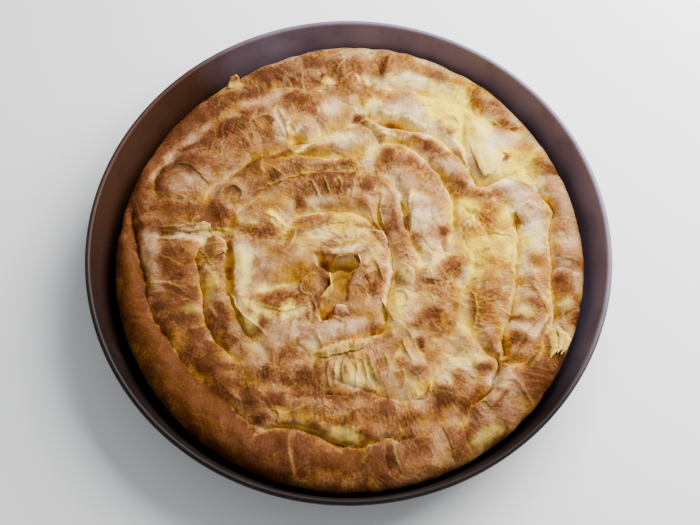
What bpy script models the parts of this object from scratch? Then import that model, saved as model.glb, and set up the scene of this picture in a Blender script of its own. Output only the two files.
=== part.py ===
"""Cheese banitsa in its round baking tray.

Filo dough is rolled round cheese into ropes, here called rolls, and the rolls are laid end to end
in a spiral that runs clockwise, seen from above, from the middle of the tray out to its wall.
Where one roll ends and the next begins, the roll outside them moves in or out by a turn.

Metres, +Z up.  The origin lies on the table under the tray's centre, and -Y is the front.
Angles are degrees, anticlockwise from +X, and a roll's angles may pass below 0.
"""

import math

import bpy

# Tray: pressed sheet with a leaning wall and a wired edge.
RIM_RADIUS = 0.180
TRAY_HEIGHT = 0.046
SHEET = 0.001
BEAD_RADIUS = 0.002
WALL_LEAN = math.radians(14.0)
CORNER_RADIUS = 0.006
TRAY_STEPS = 72
CORNER_POINTS = 4
BEAD_POINTS = 8

# Pastry: heights above the table, and how far neighbours stand apart.
GAP = 0.0003
FLOOR = SHEET + GAP
GROOVE_HEIGHT = 0.0255
WIDEST_HEIGHT = 0.0235
UNDER_TUCK = 0.0070
BOTTOM_ROUND = 0.0025
SIDE_GAP = 0.0003
END_GAP = 0.0005
STATION = 0.0100
DOME_SHARES = (-1.0, -0.82, -0.45, 0.0, 0.45, 0.82, 1.0)
DOME_POWER = 2.4
NOSE_LENGTH = 0.014
NOSE_DROP = 0.25
FOLD_HEIGHT = 0.0007
FOLD_LENGTH = 0.034
SWELL_HEIGHT = 0.0009
SWELL_LENGTH = 0.123
TAIL_HEIGHT = 0.0155
TAIL_STEP = 10.0

# Grooves between the rolls: (lowest angle, angle step, radii).  A groove that has a radius for
# the full turn closes on itself.  The others are arms of the spiral and stop at both ends.
WALL_EDGE = (0, 30, (
    0.1645, 0.1640, 0.1680, 0.1690, 0.1635, 0.1625, 0.1630, 0.1640, 0.1665, 0.1680, 0.1675, 0.1655))
OUTER_GROOVE = (0, 15, (
    0.141, 0.143, 0.141, 0.140, 0.139, 0.138, 0.137, 0.136, 0.137, 0.1405, 0.144, 0.147,
    0.148, 0.1425, 0.139, 0.1385, 0.138, 0.135, 0.1365, 0.138, 0.1425, 0.141, 0.145, 0.146))
MIDDLE_GROOVE = (0, 15, (
    0.119, 0.1165, 0.110, 0.1095, 0.1075, 0.106, 0.104, 0.101, 0.101, 0.101, 0.103, 0.102,
    0.104, 0.105, 0.108, 0.111, 0.112, 0.107, 0.106, 0.109, 0.109, 0.113, 0.119, 0.119))
SPLIT_GROOVE = (-60, 15, (
    0.107, 0.101, 0.096, 0.088, 0.081, 0.082, 0.084, 0.086, 0.086, 0.085, 0.083, 0.079,
    0.075, 0.076, 0.079))
INNER_GROOVE = (-60, 15, (
    0.063, 0.060, 0.058, 0.054, 0.050, 0.048, 0.050, 0.053, 0.055, 0.058, 0.060, 0.060,
    0.062, 0.070, 0.078, 0.082, 0.082, 0.083, 0.087, 0.088, 0.085, 0.082, 0.076, 0.071, 0.066))
CORE_GROOVE = (-60, 15, (
    0.048, 0.043, 0.038, 0.034, 0.031, 0.030, 0.029, 0.030, 0.033, 0.036, 0.037, 0.037,
    0.038, 0.040, 0.041, 0.042, 0.043, 0.044, 0.045, 0.046, 0.047))
HOLE_EDGE = (0, 30, (
    0.012, 0.009, 0.008, 0.008, 0.010, 0.013, 0.020, 0.030, 0.043, 0.037, 0.021, 0.013))
TAIL_CENTRE = (-0.006, -0.017)

# Rolls, from the wall inwards: (name, angles where it starts at its inner and its outer side,
# angles where it ends, grooves inside it, groove outside it, height of its crest).
ROLLS = (
    ("roll_back", (171.8, 171.8), (44.0, 32.0), (OUTER_GROOVE,), WALL_EDGE, 0.0335),
    ("roll_right", (44.0, 32.0), (-37.0, -34.0), (OUTER_GROOVE,), WALL_EDGE, 0.0340),
    ("roll_front", (323.0, 326.0), (172.2, 172.2), (OUTER_GROOVE,), WALL_EDGE, 0.0330),
    ("roll_upper_left", (175.0, 178.0), (33.0, 33.0), (MIDDLE_GROOVE,), OUTER_GROOVE, 0.0345),
    ("roll_upper_right", (32.7, 32.7), (-42.0, -38.0), (MIDDLE_GROOVE,), OUTER_GROOVE, 0.0335),
    ("roll_lower_right", (318.0, 322.0), (247.0, 249.0), (MIDDLE_GROOVE,), OUTER_GROOVE, 0.0340),
    ("roll_lower_left", (247.0, 249.0), (175.0, 178.0), (MIDDLE_GROOVE,), OUTER_GROOVE, 0.0340),
    ("roll_mid_left", (177.0, 177.0), (117.0, 115.0), (INNER_GROOVE, SPLIT_GROOVE), MIDDLE_GROOVE, 0.0335),
    ("roll_mid_back", (117.0, 115.0), (34.0, 31.0), (SPLIT_GROOVE,), MIDDLE_GROOVE, 0.0335),
    ("roll_mid_right", (34.0, 31.0), (-57.0, -57.0), (SPLIT_GROOVE,), MIDDLE_GROOVE, 0.0340),
    ("roll_mid_front", (300.0, 300.0), (177.0, 177.0), (INNER_GROOVE,), MIDDLE_GROOVE, 0.0335),
    ("roll_second", (142.0, 142.0), (-60.0, -60.0), (INNER_GROOVE,), SPLIT_GROOVE, 0.0335),
    ("roll_inner", (300.0, 300.0), (-59.0, -59.0), (HOLE_EDGE, CORE_GROOVE), INNER_GROOVE, 0.0330),
    ("roll_core", (233.0, 236.0), (-60.0, -60.0), (HOLE_EDGE,), CORE_GROOVE, 0.0310),
)

FILO_COLOUR = (0.72, 0.42, 0.17, 1.0)
TRAY_COLOUR = (0.10, 0.055, 0.040, 1.0)


def clear_scene():
    for thing in list(bpy.data.objects):
        bpy.data.objects.remove(thing)


def material(name, colour, roughness, metallic):
    made = bpy.data.materials.new(name)
    made.use_nodes = True
    shader = made.node_tree.nodes["Principled BSDF"]
    shader.inputs["Base Color"].default_value = colour
    shader.inputs["Roughness"].default_value = roughness
    shader.inputs["Metallic"].default_value = metallic
    return made


def add_object(name, mesh, collection, finish):
    made = bpy.data.objects.new(name, mesh)
    made.data.materials.append(finish)
    collection.objects.link(made)
    return made


# ---------------------------------------------------------------- tray


def arc(centre, radius, first, last, count):
    """Points on an arc in the plane of the profile, from angle first to angle last."""
    steps = [first + (last - first) * i / (count - 1) for i in range(count)]
    return [(centre[0] + radius * math.cos(a), centre[1] + radius * math.sin(a)) for a in steps]


def tray_profile():
    """(radius, height) points up the inside, over the wired edge and down the outside."""
    bead = (RIM_RADIUS - BEAD_RADIUS, TRAY_HEIGHT - BEAD_RADIUS)
    wall_top = (bead[0] - BEAD_RADIUS, bead[1])
    lean_x, lean_z = math.sin(WALL_LEAN), math.cos(WALL_LEAN)
    down = (wall_top[1] + CORNER_RADIUS * (lean_x - 1.0) - SHEET) / lean_z
    corner = (
        wall_top[0] - down * lean_x - CORNER_RADIUS * lean_z,
        SHEET + CORNER_RADIUS,
    )
    floor_turn, wall_turn = -math.pi / 2, -WALL_LEAN
    inside = arc(corner, CORNER_RADIUS, floor_turn, wall_turn, CORNER_POINTS)
    edge = arc(bead, BEAD_RADIUS, math.pi, math.radians(-120.0), BEAD_POINTS)
    outside = arc(corner, CORNER_RADIUS + SHEET, wall_turn, floor_turn, CORNER_POINTS)
    return [(0.0, SHEET), *inside, *edge, *outside, (0.0, 0.0)]


def make_tray(collection, finish):
    mesh = bpy.data.meshes.new("tray")
    points = [(radius, 0.0, height) for radius, height in tray_profile()]
    mesh.from_pydata(points, [(i, i + 1) for i in range(len(points) - 1)], [])
    tray = add_object("tray", mesh, collection, finish)
    turn = tray.modifiers.new("turn", "SCREW")
    turn.steps = turn.render_steps = TRAY_STEPS
    turn.use_merge_vertices = True
    turn.merge_threshold = 0.00001
    return tray


# ---------------------------------------------------------------- grooves


def closes(groove):
    _, step, radii = groove
    return step * len(radii) >= 360


def reaches(groove, angle):
    """Whether the groove has a radius at this angle."""
    lowest, step, radii = groove
    return closes(groove) or lowest <= angle <= lowest + step * (len(radii) - 1)


def groove_radius(groove, angle):
    """Radius of a groove at an angle: a smooth cubic through its listed radii."""
    lowest, step, radii = groove
    place = (angle - lowest) / step
    index = math.floor(place)
    share = place - index
    if closes(groove):
        before, here, after, beyond = (radii[(index + i) % len(radii)] for i in (-1, 0, 1, 2))
    else:
        last = len(radii) - 1
        before, here, after, beyond = (radii[min(max(index + i, 0), last)] for i in (-1, 0, 1, 2))
    return here + 0.5 * share * (
        after - before
        + share * (2 * before - 5 * here + 4 * after - beyond
                   + share * (3 * (here - after) + beyond - before))
    )


def inner_radius(grooves, angle):
    """The largest of the grooves inside a roll that reach this angle."""
    return max(groove_radius(groove, angle) for groove in grooves if reaches(groove, angle))


# ---------------------------------------------------------------- rolls


def blend(first, last, share):
    return first + (last - first) * share


def dome(share, side_height, crest):
    """Height of the top of a roll at a share of its half width."""
    rise = (1.0 - abs(share) ** DOME_POWER) ** 0.5
    return side_height + (crest - side_height) * rise


def nose(length_in):
    """0 at the end of a roll, rising to 1 over NOSE_LENGTH."""
    return math.sqrt(1.0 - (1.0 - min(length_in / NOSE_LENGTH, 1.0)) ** 2)


def crest_height(base, along, phase):
    """The crest with its long swells and its cross folds."""
    swell = SWELL_HEIGHT * math.sin(2 * math.pi * along / SWELL_LENGTH + phase)
    fold = FOLD_HEIGHT * math.sin(2 * math.pi * along / FOLD_LENGTH + 2.3 * phase)
    return base + swell + fold


def roll_section(roll, share, along, length, phase):
    """One closed loop across a roll, at a share of its way from start to end.

    A roll runs clockwise, so its loops go inwards over the top for the faces to point out.
    """
    _, start, end, inside, outside, base = roll
    at_wall = outside is WALL_EDGE
    inner_angle, outer_angle = blend(start[0], end[0], share), blend(start[1], end[1], share)
    crest = crest_height(base, along, phase)
    drop = NOSE_DROP * (1.0 - nose(min(along, length - along)))
    outer_side = WIDEST_HEIGHT if at_wall else GROOVE_HEIGHT

    def place(side, height, tuck=0.0):
        """A point at side -1 (inner) to 1 (outer) of the roll."""
        across = 0.5 * (side + 1.0)
        angle = blend(inner_angle, outer_angle, across)
        low = inner_radius(inside, angle) + SIDE_GAP
        high = groove_radius(outside, angle) - SIDE_GAP
        radius = blend(low, high, across) - tuck
        turn = math.radians(angle)
        height = FLOOR + (height - FLOOR) * (1.0 - drop)
        return (radius * math.cos(turn), radius * math.sin(turn), height)

    top = [
        place(side, dome(side, outer_side if side > 0 else GROOVE_HEIGHT, crest))
        for side in DOME_SHARES
    ]
    outer_tuck = UNDER_TUCK if at_wall else 0.0
    round_share = 0.14
    under = [
        place(1.0, FLOOR + BOTTOM_ROUND, 0.8 * outer_tuck),
        place(1.0 - round_share, FLOOR, outer_tuck),
        place(round_share - 1.0, FLOOR),
        place(-1.0, FLOOR + BOTTOM_ROUND),
    ]
    return (top + under)[::-1]


def roll_length(roll):
    """Length along the middle of a roll."""
    _, start, end, inside, outside, _ = roll
    count = 40
    points = []
    for i in range(count + 1):
        angle = blend(sum(start) / 2, sum(end) / 2, i / count)
        radius = (inner_radius(inside, angle) + groove_radius(outside, angle)) / 2
        points.append((radius * math.cos(math.radians(angle)), radius * math.sin(math.radians(angle))))
    return sum(math.dist(a, b) for a, b in zip(points, points[1:]))


def loft(name, loops):
    """A closed mesh over loops of equally many points, with a cap at each end."""
    count = len(loops[0])
    points = [point for loop in loops for point in loop]
    faces = []
    for row in range(len(loops) - 1):
        low, high = row * count, (row + 1) * count
        for i in range(count):
            after = (i + 1) % count
            faces.append((low + i, low + after, high + after, high + i))
    faces.append(tuple(reversed(range(count))))
    faces.append(tuple(range((len(loops) - 1) * count, len(points))))
    mesh = bpy.data.meshes.new(name)
    mesh.from_pydata(points, [], faces)
    return mesh


def make_roll(roll, phase, collection, finish):
    length = roll_length(roll)
    count = max(4, round(length / STATION))
    shares = [blend(END_GAP / length, 1.0 - END_GAP / length, i / count) for i in range(count + 1)]
    loops = [roll_section(roll, share, share * length, length, phase) for share in shares]
    mesh = loft(roll[0], loops)
    mesh.shade_smooth()
    mesh.set_sharp_from_angle(angle=math.radians(50.0))
    return add_object(roll[0], mesh, collection, finish)


def make_tail(collection, finish):
    """The inner end of the coil, tucked down into the hole in its middle."""
    levels = (
        (FLOOR, 0.80), (FLOOR + BOTTOM_ROUND, 0.94), (0.75 * TAIL_HEIGHT, 0.94),
        (0.93 * TAIL_HEIGHT, 0.78), (TAIL_HEIGHT, 0.40),
    )
    angles = [TAIL_STEP * i for i in range(round(360 / TAIL_STEP))]

    def ring(height, scale):
        loop = []
        for angle in angles:
            radius = groove_radius(HOLE_EDGE, angle) - 2 * SIDE_GAP
            x, y = radius * math.cos(math.radians(angle)), radius * math.sin(math.radians(angle))
            loop.append((
                blend(TAIL_CENTRE[0], x, scale), blend(TAIL_CENTRE[1], y, scale), height))
        return loop

    mesh = loft("roll_tail", [ring(height, scale) for height, scale in levels])
    mesh.shade_smooth()
    return add_object("roll_tail", mesh, collection, finish)


def main():
    clear_scene()
    collection = bpy.data.collections.new("cheese_banitsa")
    bpy.context.scene.collection.children.link(collection)
    filo = material("baked_filo", FILO_COLOUR, 0.55, 0.0)
    coated = material("coated_tray", TRAY_COLOUR, 0.45, 0.3)
    make_tray(collection, coated)
    for phase, roll in enumerate(ROLLS):
        make_roll(roll, float(phase), collection, filo)
    make_tail(collection, filo)


main()
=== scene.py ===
"""A cheese banitsa in its round baking tray: ropes of rolled filo coiled from the middle outwards.

Run as a script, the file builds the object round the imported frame.  Its panel lists the steps.
"""

import math
from types import SimpleNamespace

import bpy
import numpy as np
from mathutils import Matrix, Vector


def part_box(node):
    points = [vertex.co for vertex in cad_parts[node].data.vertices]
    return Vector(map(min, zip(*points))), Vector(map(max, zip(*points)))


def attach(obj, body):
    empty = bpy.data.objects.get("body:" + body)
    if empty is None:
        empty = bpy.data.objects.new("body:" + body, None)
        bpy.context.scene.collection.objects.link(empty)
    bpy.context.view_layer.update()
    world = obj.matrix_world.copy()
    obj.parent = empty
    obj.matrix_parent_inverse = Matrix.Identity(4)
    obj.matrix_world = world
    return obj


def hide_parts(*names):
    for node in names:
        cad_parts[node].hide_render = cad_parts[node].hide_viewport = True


bl_info = {
    "name": "Cheese Banitsa",
    "version": (1, 0, 0),
    "blender": (4, 5, 0),
    "location": "View3D > Sidebar > Banitsa",
    "description": "Builds a coiled filo pie in its round baking tray",
    "category": "Object",
}

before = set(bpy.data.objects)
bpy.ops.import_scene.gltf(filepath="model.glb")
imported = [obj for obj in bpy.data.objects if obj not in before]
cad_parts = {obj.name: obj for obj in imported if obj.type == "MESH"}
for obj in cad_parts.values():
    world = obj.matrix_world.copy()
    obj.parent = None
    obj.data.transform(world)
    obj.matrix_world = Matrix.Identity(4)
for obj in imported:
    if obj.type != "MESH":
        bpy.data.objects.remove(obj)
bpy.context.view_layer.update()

BODY = "root"
MM = 0.001

TRAY_LOW, TRAY_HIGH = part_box("tray")
RIM_RADIUS = (TRAY_HIGH[0] - TRAY_LOW[0]) / 2
RIM_HEIGHT = TRAY_HIGH[2]

# ------------------------------------------------------------------ lay of the coil, millimetres

# The tray: its sheet, the bead of its rim, the bend at its floor, and the lean of its wall.
SHEET = 1.0
BEAD = 2.0
CORNER = 6.0
FLAT_FLOOR = 80.0
WALL_LEAN = 14.0
WALL_STEPS = 12
WALL_WAVE = 0.35

# The pie: heights above the table, the gap to the wall, how far its side tucks in below and how
# far from the wall its top begins to turn down.
FLOOR = SHEET + 0.3
CREST = 33.8
WIDEST_HEIGHT = 22.5
HIGHEST = 38.0
LOWEST = 9.0
WALL_GAP = 2.2
UNDER_TUCK = 7.0
WALL_DOME = 15.0

# Lines between the rolls: (lowest angle, angle step, radii).  Angles are degrees, anticlockwise
# from +X.  A line that has a radius for the full turn closes on itself.
WALL_EDGE = (0, 30, (
    164.5, 164.0, 168.0, 169.0, 163.5, 162.5, 163.0, 164.0, 166.5, 168.0, 167.5, 165.5))
OUTER_LINE = (0, 15, (
    141, 143, 141, 140, 139, 138, 137, 136, 137, 140.5, 144, 147,
    148, 142.5, 139, 138.5, 138, 135, 136.5, 138, 142.5, 141, 145, 146))
MIDDLE_LINE = (0, 15, (
    119, 116.5, 110, 109.5, 107.5, 106, 104, 101, 101, 101, 103, 102,
    104, 105, 108, 111, 112, 107, 106, 109, 109, 113, 119, 119))
SPLIT_LINE = (-60, 15, (107, 101, 96, 88, 81, 82, 84, 86, 86, 85, 83, 79, 75, 76, 79))
INNER_LINE = (-60, 15, (
    63, 60, 58, 54, 50, 48, 50, 53, 55, 58, 60, 60,
    62, 70, 78, 82, 82, 83, 87, 88, 85, 82, 76, 71, 66))
CORE_LINE = (-60, 15, (
    48, 43, 38, 34, 31, 30, 29, 30, 33, 36, 37, 37, 38, 40, 41, 42, 43, 44, 45, 46, 47))
HOLE_LINE = (0, 30, (12, 9, 8, 8, 10, 13, 20, 30, 43, 37, 21, 13))

# The tail fills the hole in the middle: its centre, and the width and the length round it that
# give its grid.
TAIL_CENTRE = (-6.0, -17.0)
TAIL_WIDTH = 34.0
TAIL_ROUND = 170.0

# Rolls, from the wall inwards: (CAD node, angles where it starts at its inner and its outer side,
# angles where it ends, lines inside it, line outside it).
ROLLS = (
    ("roll_back", (172, 172), (44, 32), (OUTER_LINE,), WALL_EDGE),
    ("roll_right", (44, 32), (-37, -34), (OUTER_LINE,), WALL_EDGE),
    ("roll_front", (323, 326), (172, 172), (OUTER_LINE,), WALL_EDGE),
    ("roll_upper_left", (175, 178), (33, 33), (MIDDLE_LINE,), OUTER_LINE),
    ("roll_upper_right", (33, 33), (-42, -38), (MIDDLE_LINE,), OUTER_LINE),
    ("roll_lower_right", (318, 322), (247, 249), (MIDDLE_LINE,), OUTER_LINE),
    ("roll_lower_left", (247, 249), (175, 178), (MIDDLE_LINE,), OUTER_LINE),
    ("roll_mid_left", (177, 177), (117, 115), (INNER_LINE, SPLIT_LINE), MIDDLE_LINE),
    ("roll_mid_back", (117, 115), (34, 31), (SPLIT_LINE,), MIDDLE_LINE),
    ("roll_mid_right", (34, 31), (-60, -60), (SPLIT_LINE,), MIDDLE_LINE),
    ("roll_mid_front", (300, 300), (177, 177), (INNER_LINE,), MIDDLE_LINE),
    ("roll_second", (150, 150), (-60, -60), (INNER_LINE,), SPLIT_LINE),
    ("roll_inner", (300, 300), (-60, -60), (HOLE_LINE, CORE_LINE), INNER_LINE),
    ("roll_core", (240, 240), (-60, -60), (HOLE_LINE,), CORE_LINE),
)

# Grids: spacing on the rolls, places where a roll is measured, points under it, how far
# neighbours lap, and what the outermost rolls have at the wall: extra width for their side, how
# closely its columns crowd and how far its edge wobbles.
SPACING = 0.5
MEASURES = 81
UNDER_POINTS = 10
LAP = 0.25
SIDE_EXTRA = 9.0
SIDE_CROWDING = 1.7
WALL_WOBBLE = 0.8

# Edges smooth up to this angle, and points this close are welded.
SMOOTH_ANGLE = 75.0
WELD = 0.01

# Steps round the tray and spacing on the loose sheets.
TRAY_STEPS = 256
FLAP_SPACING = 0.6

# A loose sheet: how deep its root sinks, and its thickness at the root and at the free edge.
ROOT_DEPTH = 0.5
ROOT_SHEET = 0.9
EDGE_SHEET = 0.35

# Small folds laid at random.
FOLD_SEED = 12
FOLD_COUNT = 110
FOLD_REACH = 163.0

# Valleys between the rolls, each (reach of its sides, points (x, y, depth)).
VALLEYS = (
    # Between the outermost roll and the next.
    (9, ((-136, 40, 2), (-139, 52, 6), (-136, 62, 7), (-129, 71, 8), (-121, 80, 8), (-112, 89, 7),
         (-103, 97, 6), (-94, 104, 4.5), (-84, 111, 3), (-74, 118, 2.5), (-64, 124, 2.5))),
    (8, ((-66, 122, 2), (-56, 129, 3), (-46, 131, 3.5), (-36, 131, 3), (-26, 133, 2),
         (-10, 136, 1.5), (5, 136, 1.5), (16, 134, 3))),
    (6, ((10, 134, 1), (18, 132, 2), (26, 130, 4), (36, 129, 6), (48, 127, 6), (60, 123, 4),
         (72, 120, 3), (80, 116, 3), (86, 112, 3), (96, 104, 3), (106, 99, 4), (116, 96, 5),
         (124, 90, 3), (130, 84, 1))),
    (8, ((128, 58, 1), (132, 50, 3), (137, 43, 6), (143, 36, 10), (145, 28, 10), (142, 20, 8),
         (141, 8, 8), (141, -6, 7), (140, -18, 7), (139, -30, 6), (140, -42, 6), (141, -50, 8),
         (137, -58, 6), (132, -66, 6), (126, -75, 5), (118, -82, 4), (108, -83, 5), (100, -80, 6))),
    (7, ((-153, 26, 8), (-151, 16, 10), (-148, 4, 10), (-144, -10, 10), (-141, -22, 7),
         (-138, -36, 4), (-134, -47, 4), (-129, -55, 5), (-123, -64, 5), (-117, -72, 4),
         (-110, -82, 3), (-103, -90, 2.5), (-94, -98, 2), (-84, -107, 2.5), (-76, -114, 3),
         (-66, -122, 4), (-56, -127, 5), (-46, -126, 6))),
    (8, ((-50, -126, 5), (-38, -126, 6), (-25, -129, 7), (-15, -134, 7), (0, -139, 7),
         (14, -138, 7), (25, -133, 6), (36, -135, 5), (46, -133, 3), (56, -125, 3), (68, -118, 2))),
    # Between the second roll and the third.
    (8, ((110, 36, 2), (114, 27, 4), (118, 18, 6), (119, 8, 7), (117, -6, 8), (116, -20, 8),
         (114, -34, 8), (111, -46, 8), (107, -56, 9), (105, -66, 10), (104, -76, 8), (101, -81, 6))),
    (5, ((112, 56, 3), (104, 53, 8), (97, 51, 10), (91, 54, 9), (87, 62, 6), (85, 72, 4),
         (83, 86, 4), (83, 98, 3.5), (84, 108, 3), (84, 116, 2))),
    (5, ((12, 104, 2), (19, 103, 8), (28, 101, 11), (36, 99, 11), (44, 96, 9), (52, 93, 6),
         (60, 90, 4), (68, 84, 4), (76, 76, 4), (82, 68, 5), (88, 60, 5))),
    (8, ((14, 102, 2), (5, 99, 3), (-6, 95, 4), (-16, 92, 5), (-28, 86, 7), (-38, 85, 9),
         (-46, 80, 8), (-54, 75, 4))),
    (7, ((-50, 80, 2), (-58, 77, 4), (-66, 72, 6), (-76, 64, 6), (-86, 56, 6), (-94, 50, 5),
         (-100, 43, 4), (-101, 35, 3), (-97, 26, 2.5), (-92, 19, 3), (-88, 12, 3))),
    (7, ((-95, 14, 3), (-102, 6, 4), (-106, -8, 5), (-103, -20, 6), (-100, -32, 7), (-99, -44, 8),
         (-96, -54, 8), (-91, -64, 8), (-84, -73, 6), (-77, -80, 3))),
    (8, ((-78, -90, 2), (-72, -100, 3), (-68, -95, 3), (-58, -98, 2), (-44, -98, 2),
         (-30, -100, 2), (-15, -103, 2), (0, -104, 2), (14, -106, 2.5), (24, -105, 3),
         (34, -108, 3), (44, -107, 4), (52, -99, 5), (60, -88, 5), (68, -80, 5), (76, -74, 3),
         (84, -70, 2))),
    # Between the third roll and the fourth.
    (4, ((-84, 12, 2), (-84, 2, 4), (-83, -8, 4), (-82, -18, 4), (-82, -28, 5), (-81, -36, 5),
         (-78, -44, 6), (-74, -54, 6), (-69, -62, 5), (-62, -70, 3), (-56, -78, 2))),
    (7, ((-85, 8, 2), (-83, 20, 4), (-78, 28, 4), (-72, 34, 5), (-64, 41, 5), (-52, 50, 5),
         (-40, 56, 5), (-25, 60, 5), (-10, 62, 4), (4, 62, 3), (14, 58, 2))),
    (8, ((-62, 68, 2), (-48, 72, 4), (-34, 74, 5), (-20, 72, 4), (-6, 72, 4), (6, 74, 4),
         (16, 80, 4), (28, 84, 5), (40, 82, 5), (50, 76, 5), (58, 68, 6), (64, 60, 6), (68, 52, 6),
         (72, 44, 6), (74, 34, 5), (73, 22, 5), (72, 10, 4), (68, 0, 3), (64, -8, 2))),
    (3, ((24, 60, 2), (32, 52, 3), (36, 44, 4), (38, 35, 7), (40, 26, 10), (41, 17, 9),
         (44, 7, 5), (48, -3, 4), (52, -10, 3))),
    # Round the middle.
    (7, ((24, 42, 2), (21, 34, 5), (21, 24, 6), (25, 14, 5), (28, 4, 6), (31, -8, 7),
         (30, -20, 8), (28, -32, 9), (26, -42, 9), (26, -52, 8), (22, -60, 6), (10, -64, 6),
         (-4, -69, 5), (-18, -75, 4), (-28, -80, 2))),
    (6, ((-46, 8, 2), (-42, 16, 4), (-38, 24, 5), (-30, 28, 6), (-18, 29, 6), (-4, 30, 6),
         (6, 28, 5), (14, 22, 4), (20, 14, 3))),
    (6, ((-34, -20, 2), (-44, -26, 4), (-56, -29, 4), (-66, -34, 2))),
    (6, ((90, -12, 2), (86, -20, 5), (80, -28, 4), (76, -34, 2))),
    (7, ((79, -42, 1), (80, -56, 3), (85, -66, 3), (92, -75, 5), (100, -80, 7))),
    (5, ((100, -79, 9), (101, -86, 11), (97, -92, 10), (96, -99, 10), (90, -104, 11),
         (84, -109, 8), (80, -116, 5), (76, -124, 3))),
)

# How high the grain of the dough stands, millimetres.
HUMPS = 1.6
LUMPS = 0.8
CRESTS = 0.34
PLEATS = 0.6
TERRACES = 0.4
CRUMPLES = 0.7
FIBRES = 0.05
PIMPLES = 0.04
BUBBLES = 2.0

# How much wider and deeper than listed the valleys are laid.
VALLEY_SPREAD = 7.0
VALLEY_DEEPER = 1.15

# Steep-sided holes: (depth, how soft its side is, points (x, y) round it).
PITS = (
    # The middle, where the coil began.
    (16, 3.5, ((-23, -4), (-15, -5), (-8, -6), (5, -6), (7, -10), (4, -17), (0, -24), (-1, -33),
               (-2, -39), (-8, -41), (-11, -45), (-12, -51), (-19, -53), (-21, -45), (-18, -37),
               (-15, -29), (-14, -22), (-17, -16), (-22, -12))),
    # A slot at the left, a gap at the back right and a slit beside the middle.
    (11, 1.0, ((-86, 4), (-82, 6), (-80, 0), (-79, -16), (-79, -32), (-84, -34), (-86, -18))),
    (10, 0.8, ((18, 104), (30, 102), (42, 98), (52, 94), (48, 92), (40, 94), (30, 97), (23, 99))),
    (10, 1.0, ((36, 38), (41, 34), (44, 24), (43, 13), (39, 20), (37, 30))),
)

# Toast, from 0 for raw to 1 for burnt: what the dough starts from, the toast round which its
# swings are widened and by how much.
TOAST_BASE = 0.325
TOAST_MIDDLE = 0.443
TOAST_SWING = 1.12

# How far along its slope a sheet of dough ends, and how many half lengths a patch reaches.
SHEET_END = 0.92
PATCH_REACH = 1.7

# How much browner than the rest the pie is, ring by ring: partly its real browning and partly
# painted shade, darker towards the front left away from the key light, with painted light at the
# outer edge at the back left: (radius, (lowest angle, step, toast)).
BROWNING_AND_SHADE = (
    (0, (0, 45, (0.00, 0.05, 0.03, 0.02, 0.02, 0.08, 0.02, 0.00))),
    (40, (0, 45, (-0.02, 0.07, 0.07, 0.03, 0.03, 0.12, 0.02, -0.06))),
    (82, (0, 45, (-0.04, 0.00, -0.02, 0.18, 0.06, 0.12, 0.10, 0.05))),
    (126, (0, 45, (-0.08, -0.20, 0.00, 0.19, 0.22, 0.26, 0.22, 0.04))),
    (150, (0, 45, (0.10, -0.04, 0.08, 0.26, 0.42, 0.38, 0.30, 0.22))),
    (168, (0, 45, (0.12, 0.00, 0.04, 0.10, 0.24, 0.24, 0.24, 0.22))),
)

# ------------------------------------------------------------------ small maths


def blend(first, last, share):
    return first + (last - first) * share


def smooth(low, high, value):
    """0 below low, 1 above high, and a soft step between; the other way round if high is lower."""
    share = np.clip((value - low) / (high - low), 0.0, 1.0)
    return share * share * (3.0 - 2.0 * share)


def noise(x, y, seed):
    """Gradient noise of about -1 to 1 on a lattice one unit wide."""
    x, y = np.broadcast_arrays(np.asarray(x, float), np.asarray(y, float))
    left, low = np.floor(x).astype(np.int64), np.floor(y).astype(np.int64)
    dx, dy = x - left, y - low
    fade_x, fade_y = (d * d * d * (d * (d * 6 - 15) + 10) for d in (dx, dy))

    def corner(i, j):
        mixed = ((left + i) * 73856093) ^ ((low + j) * 19349663) ^ (seed * 83492791)
        mixed = (mixed ^ (mixed >> 13)) * 1274126177
        turn = ((mixed ^ (mixed >> 16)) & 0xFFFF) * (2 * np.pi / 0x10000)
        return np.cos(turn) * (dx - i) + np.sin(turn) * (dy - j)

    near = blend(corner(0, 0), corner(1, 0), fade_x)
    far = blend(corner(0, 1), corner(1, 1), fade_x)
    return 1.5 * blend(near, far, fade_y)


def cubic(before, here, after, beyond, share):
    """The point a share of the way from here to after on a smooth curve through four points."""
    return here + 0.5 * share * (
        after - before
        + share * (2 * before - 5 * here + 4 * after - beyond
                   + share * (3 * (here - after) + beyond - before)))


def line_radius(line, angle):
    """Radius of a line between rolls at angles."""
    lowest, step, radii = line
    radii = np.asarray(radii, float)
    place = (np.asarray(angle, float) - lowest) / step
    index = np.floor(place).astype(int)
    if step * len(radii) >= 360:
        four = (radii[(index + i) % len(radii)] for i in (-1, 0, 1, 2))
    else:
        four = (radii[np.clip(index + i, 0, len(radii) - 1)] for i in (-1, 0, 1, 2))
    return cubic(*four, place - index)


def inner_radius(lines, angle):
    """The largest of the lines inside a roll that reach these angles."""
    best = np.zeros_like(np.asarray(angle, float))
    for line in lines:
        lowest, step, radii = line
        reaches = (step * len(radii) >= 360) | (
            (angle >= lowest) & (angle <= lowest + step * (len(radii) - 1)))
        best = np.where(reaches, np.maximum(best, line_radius(line, angle)), best)
    return best


def smooth_line(points):
    """A list of points with rounded corners: each span cut in four along a cubic."""
    points = np.asarray(points, float)
    padded = np.concatenate([points[:1], points, points[-1:]])
    line = [cubic(*padded[i:i + 4], step / 4) for i in range(len(points) - 1) for step in range(4)]
    return np.array([*line, points[-1]])


# ------------------------------------------------------------------ map of the whole pie

CELL = 0.5
MAP_REACH = 171.0
BEYOND = 1e3
AXIS = np.arange(-MAP_REACH, MAP_REACH + CELL, CELL)
MAP_X, MAP_Y = np.meshgrid(AXIS, AXIS, indexing="ij")
BEARING = np.arctan2(MAP_Y, MAP_X)


def grains(size, seed):
    """Noise over the map in grains of one size."""
    return noise(MAP_X / size, MAP_Y / size, seed)


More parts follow.
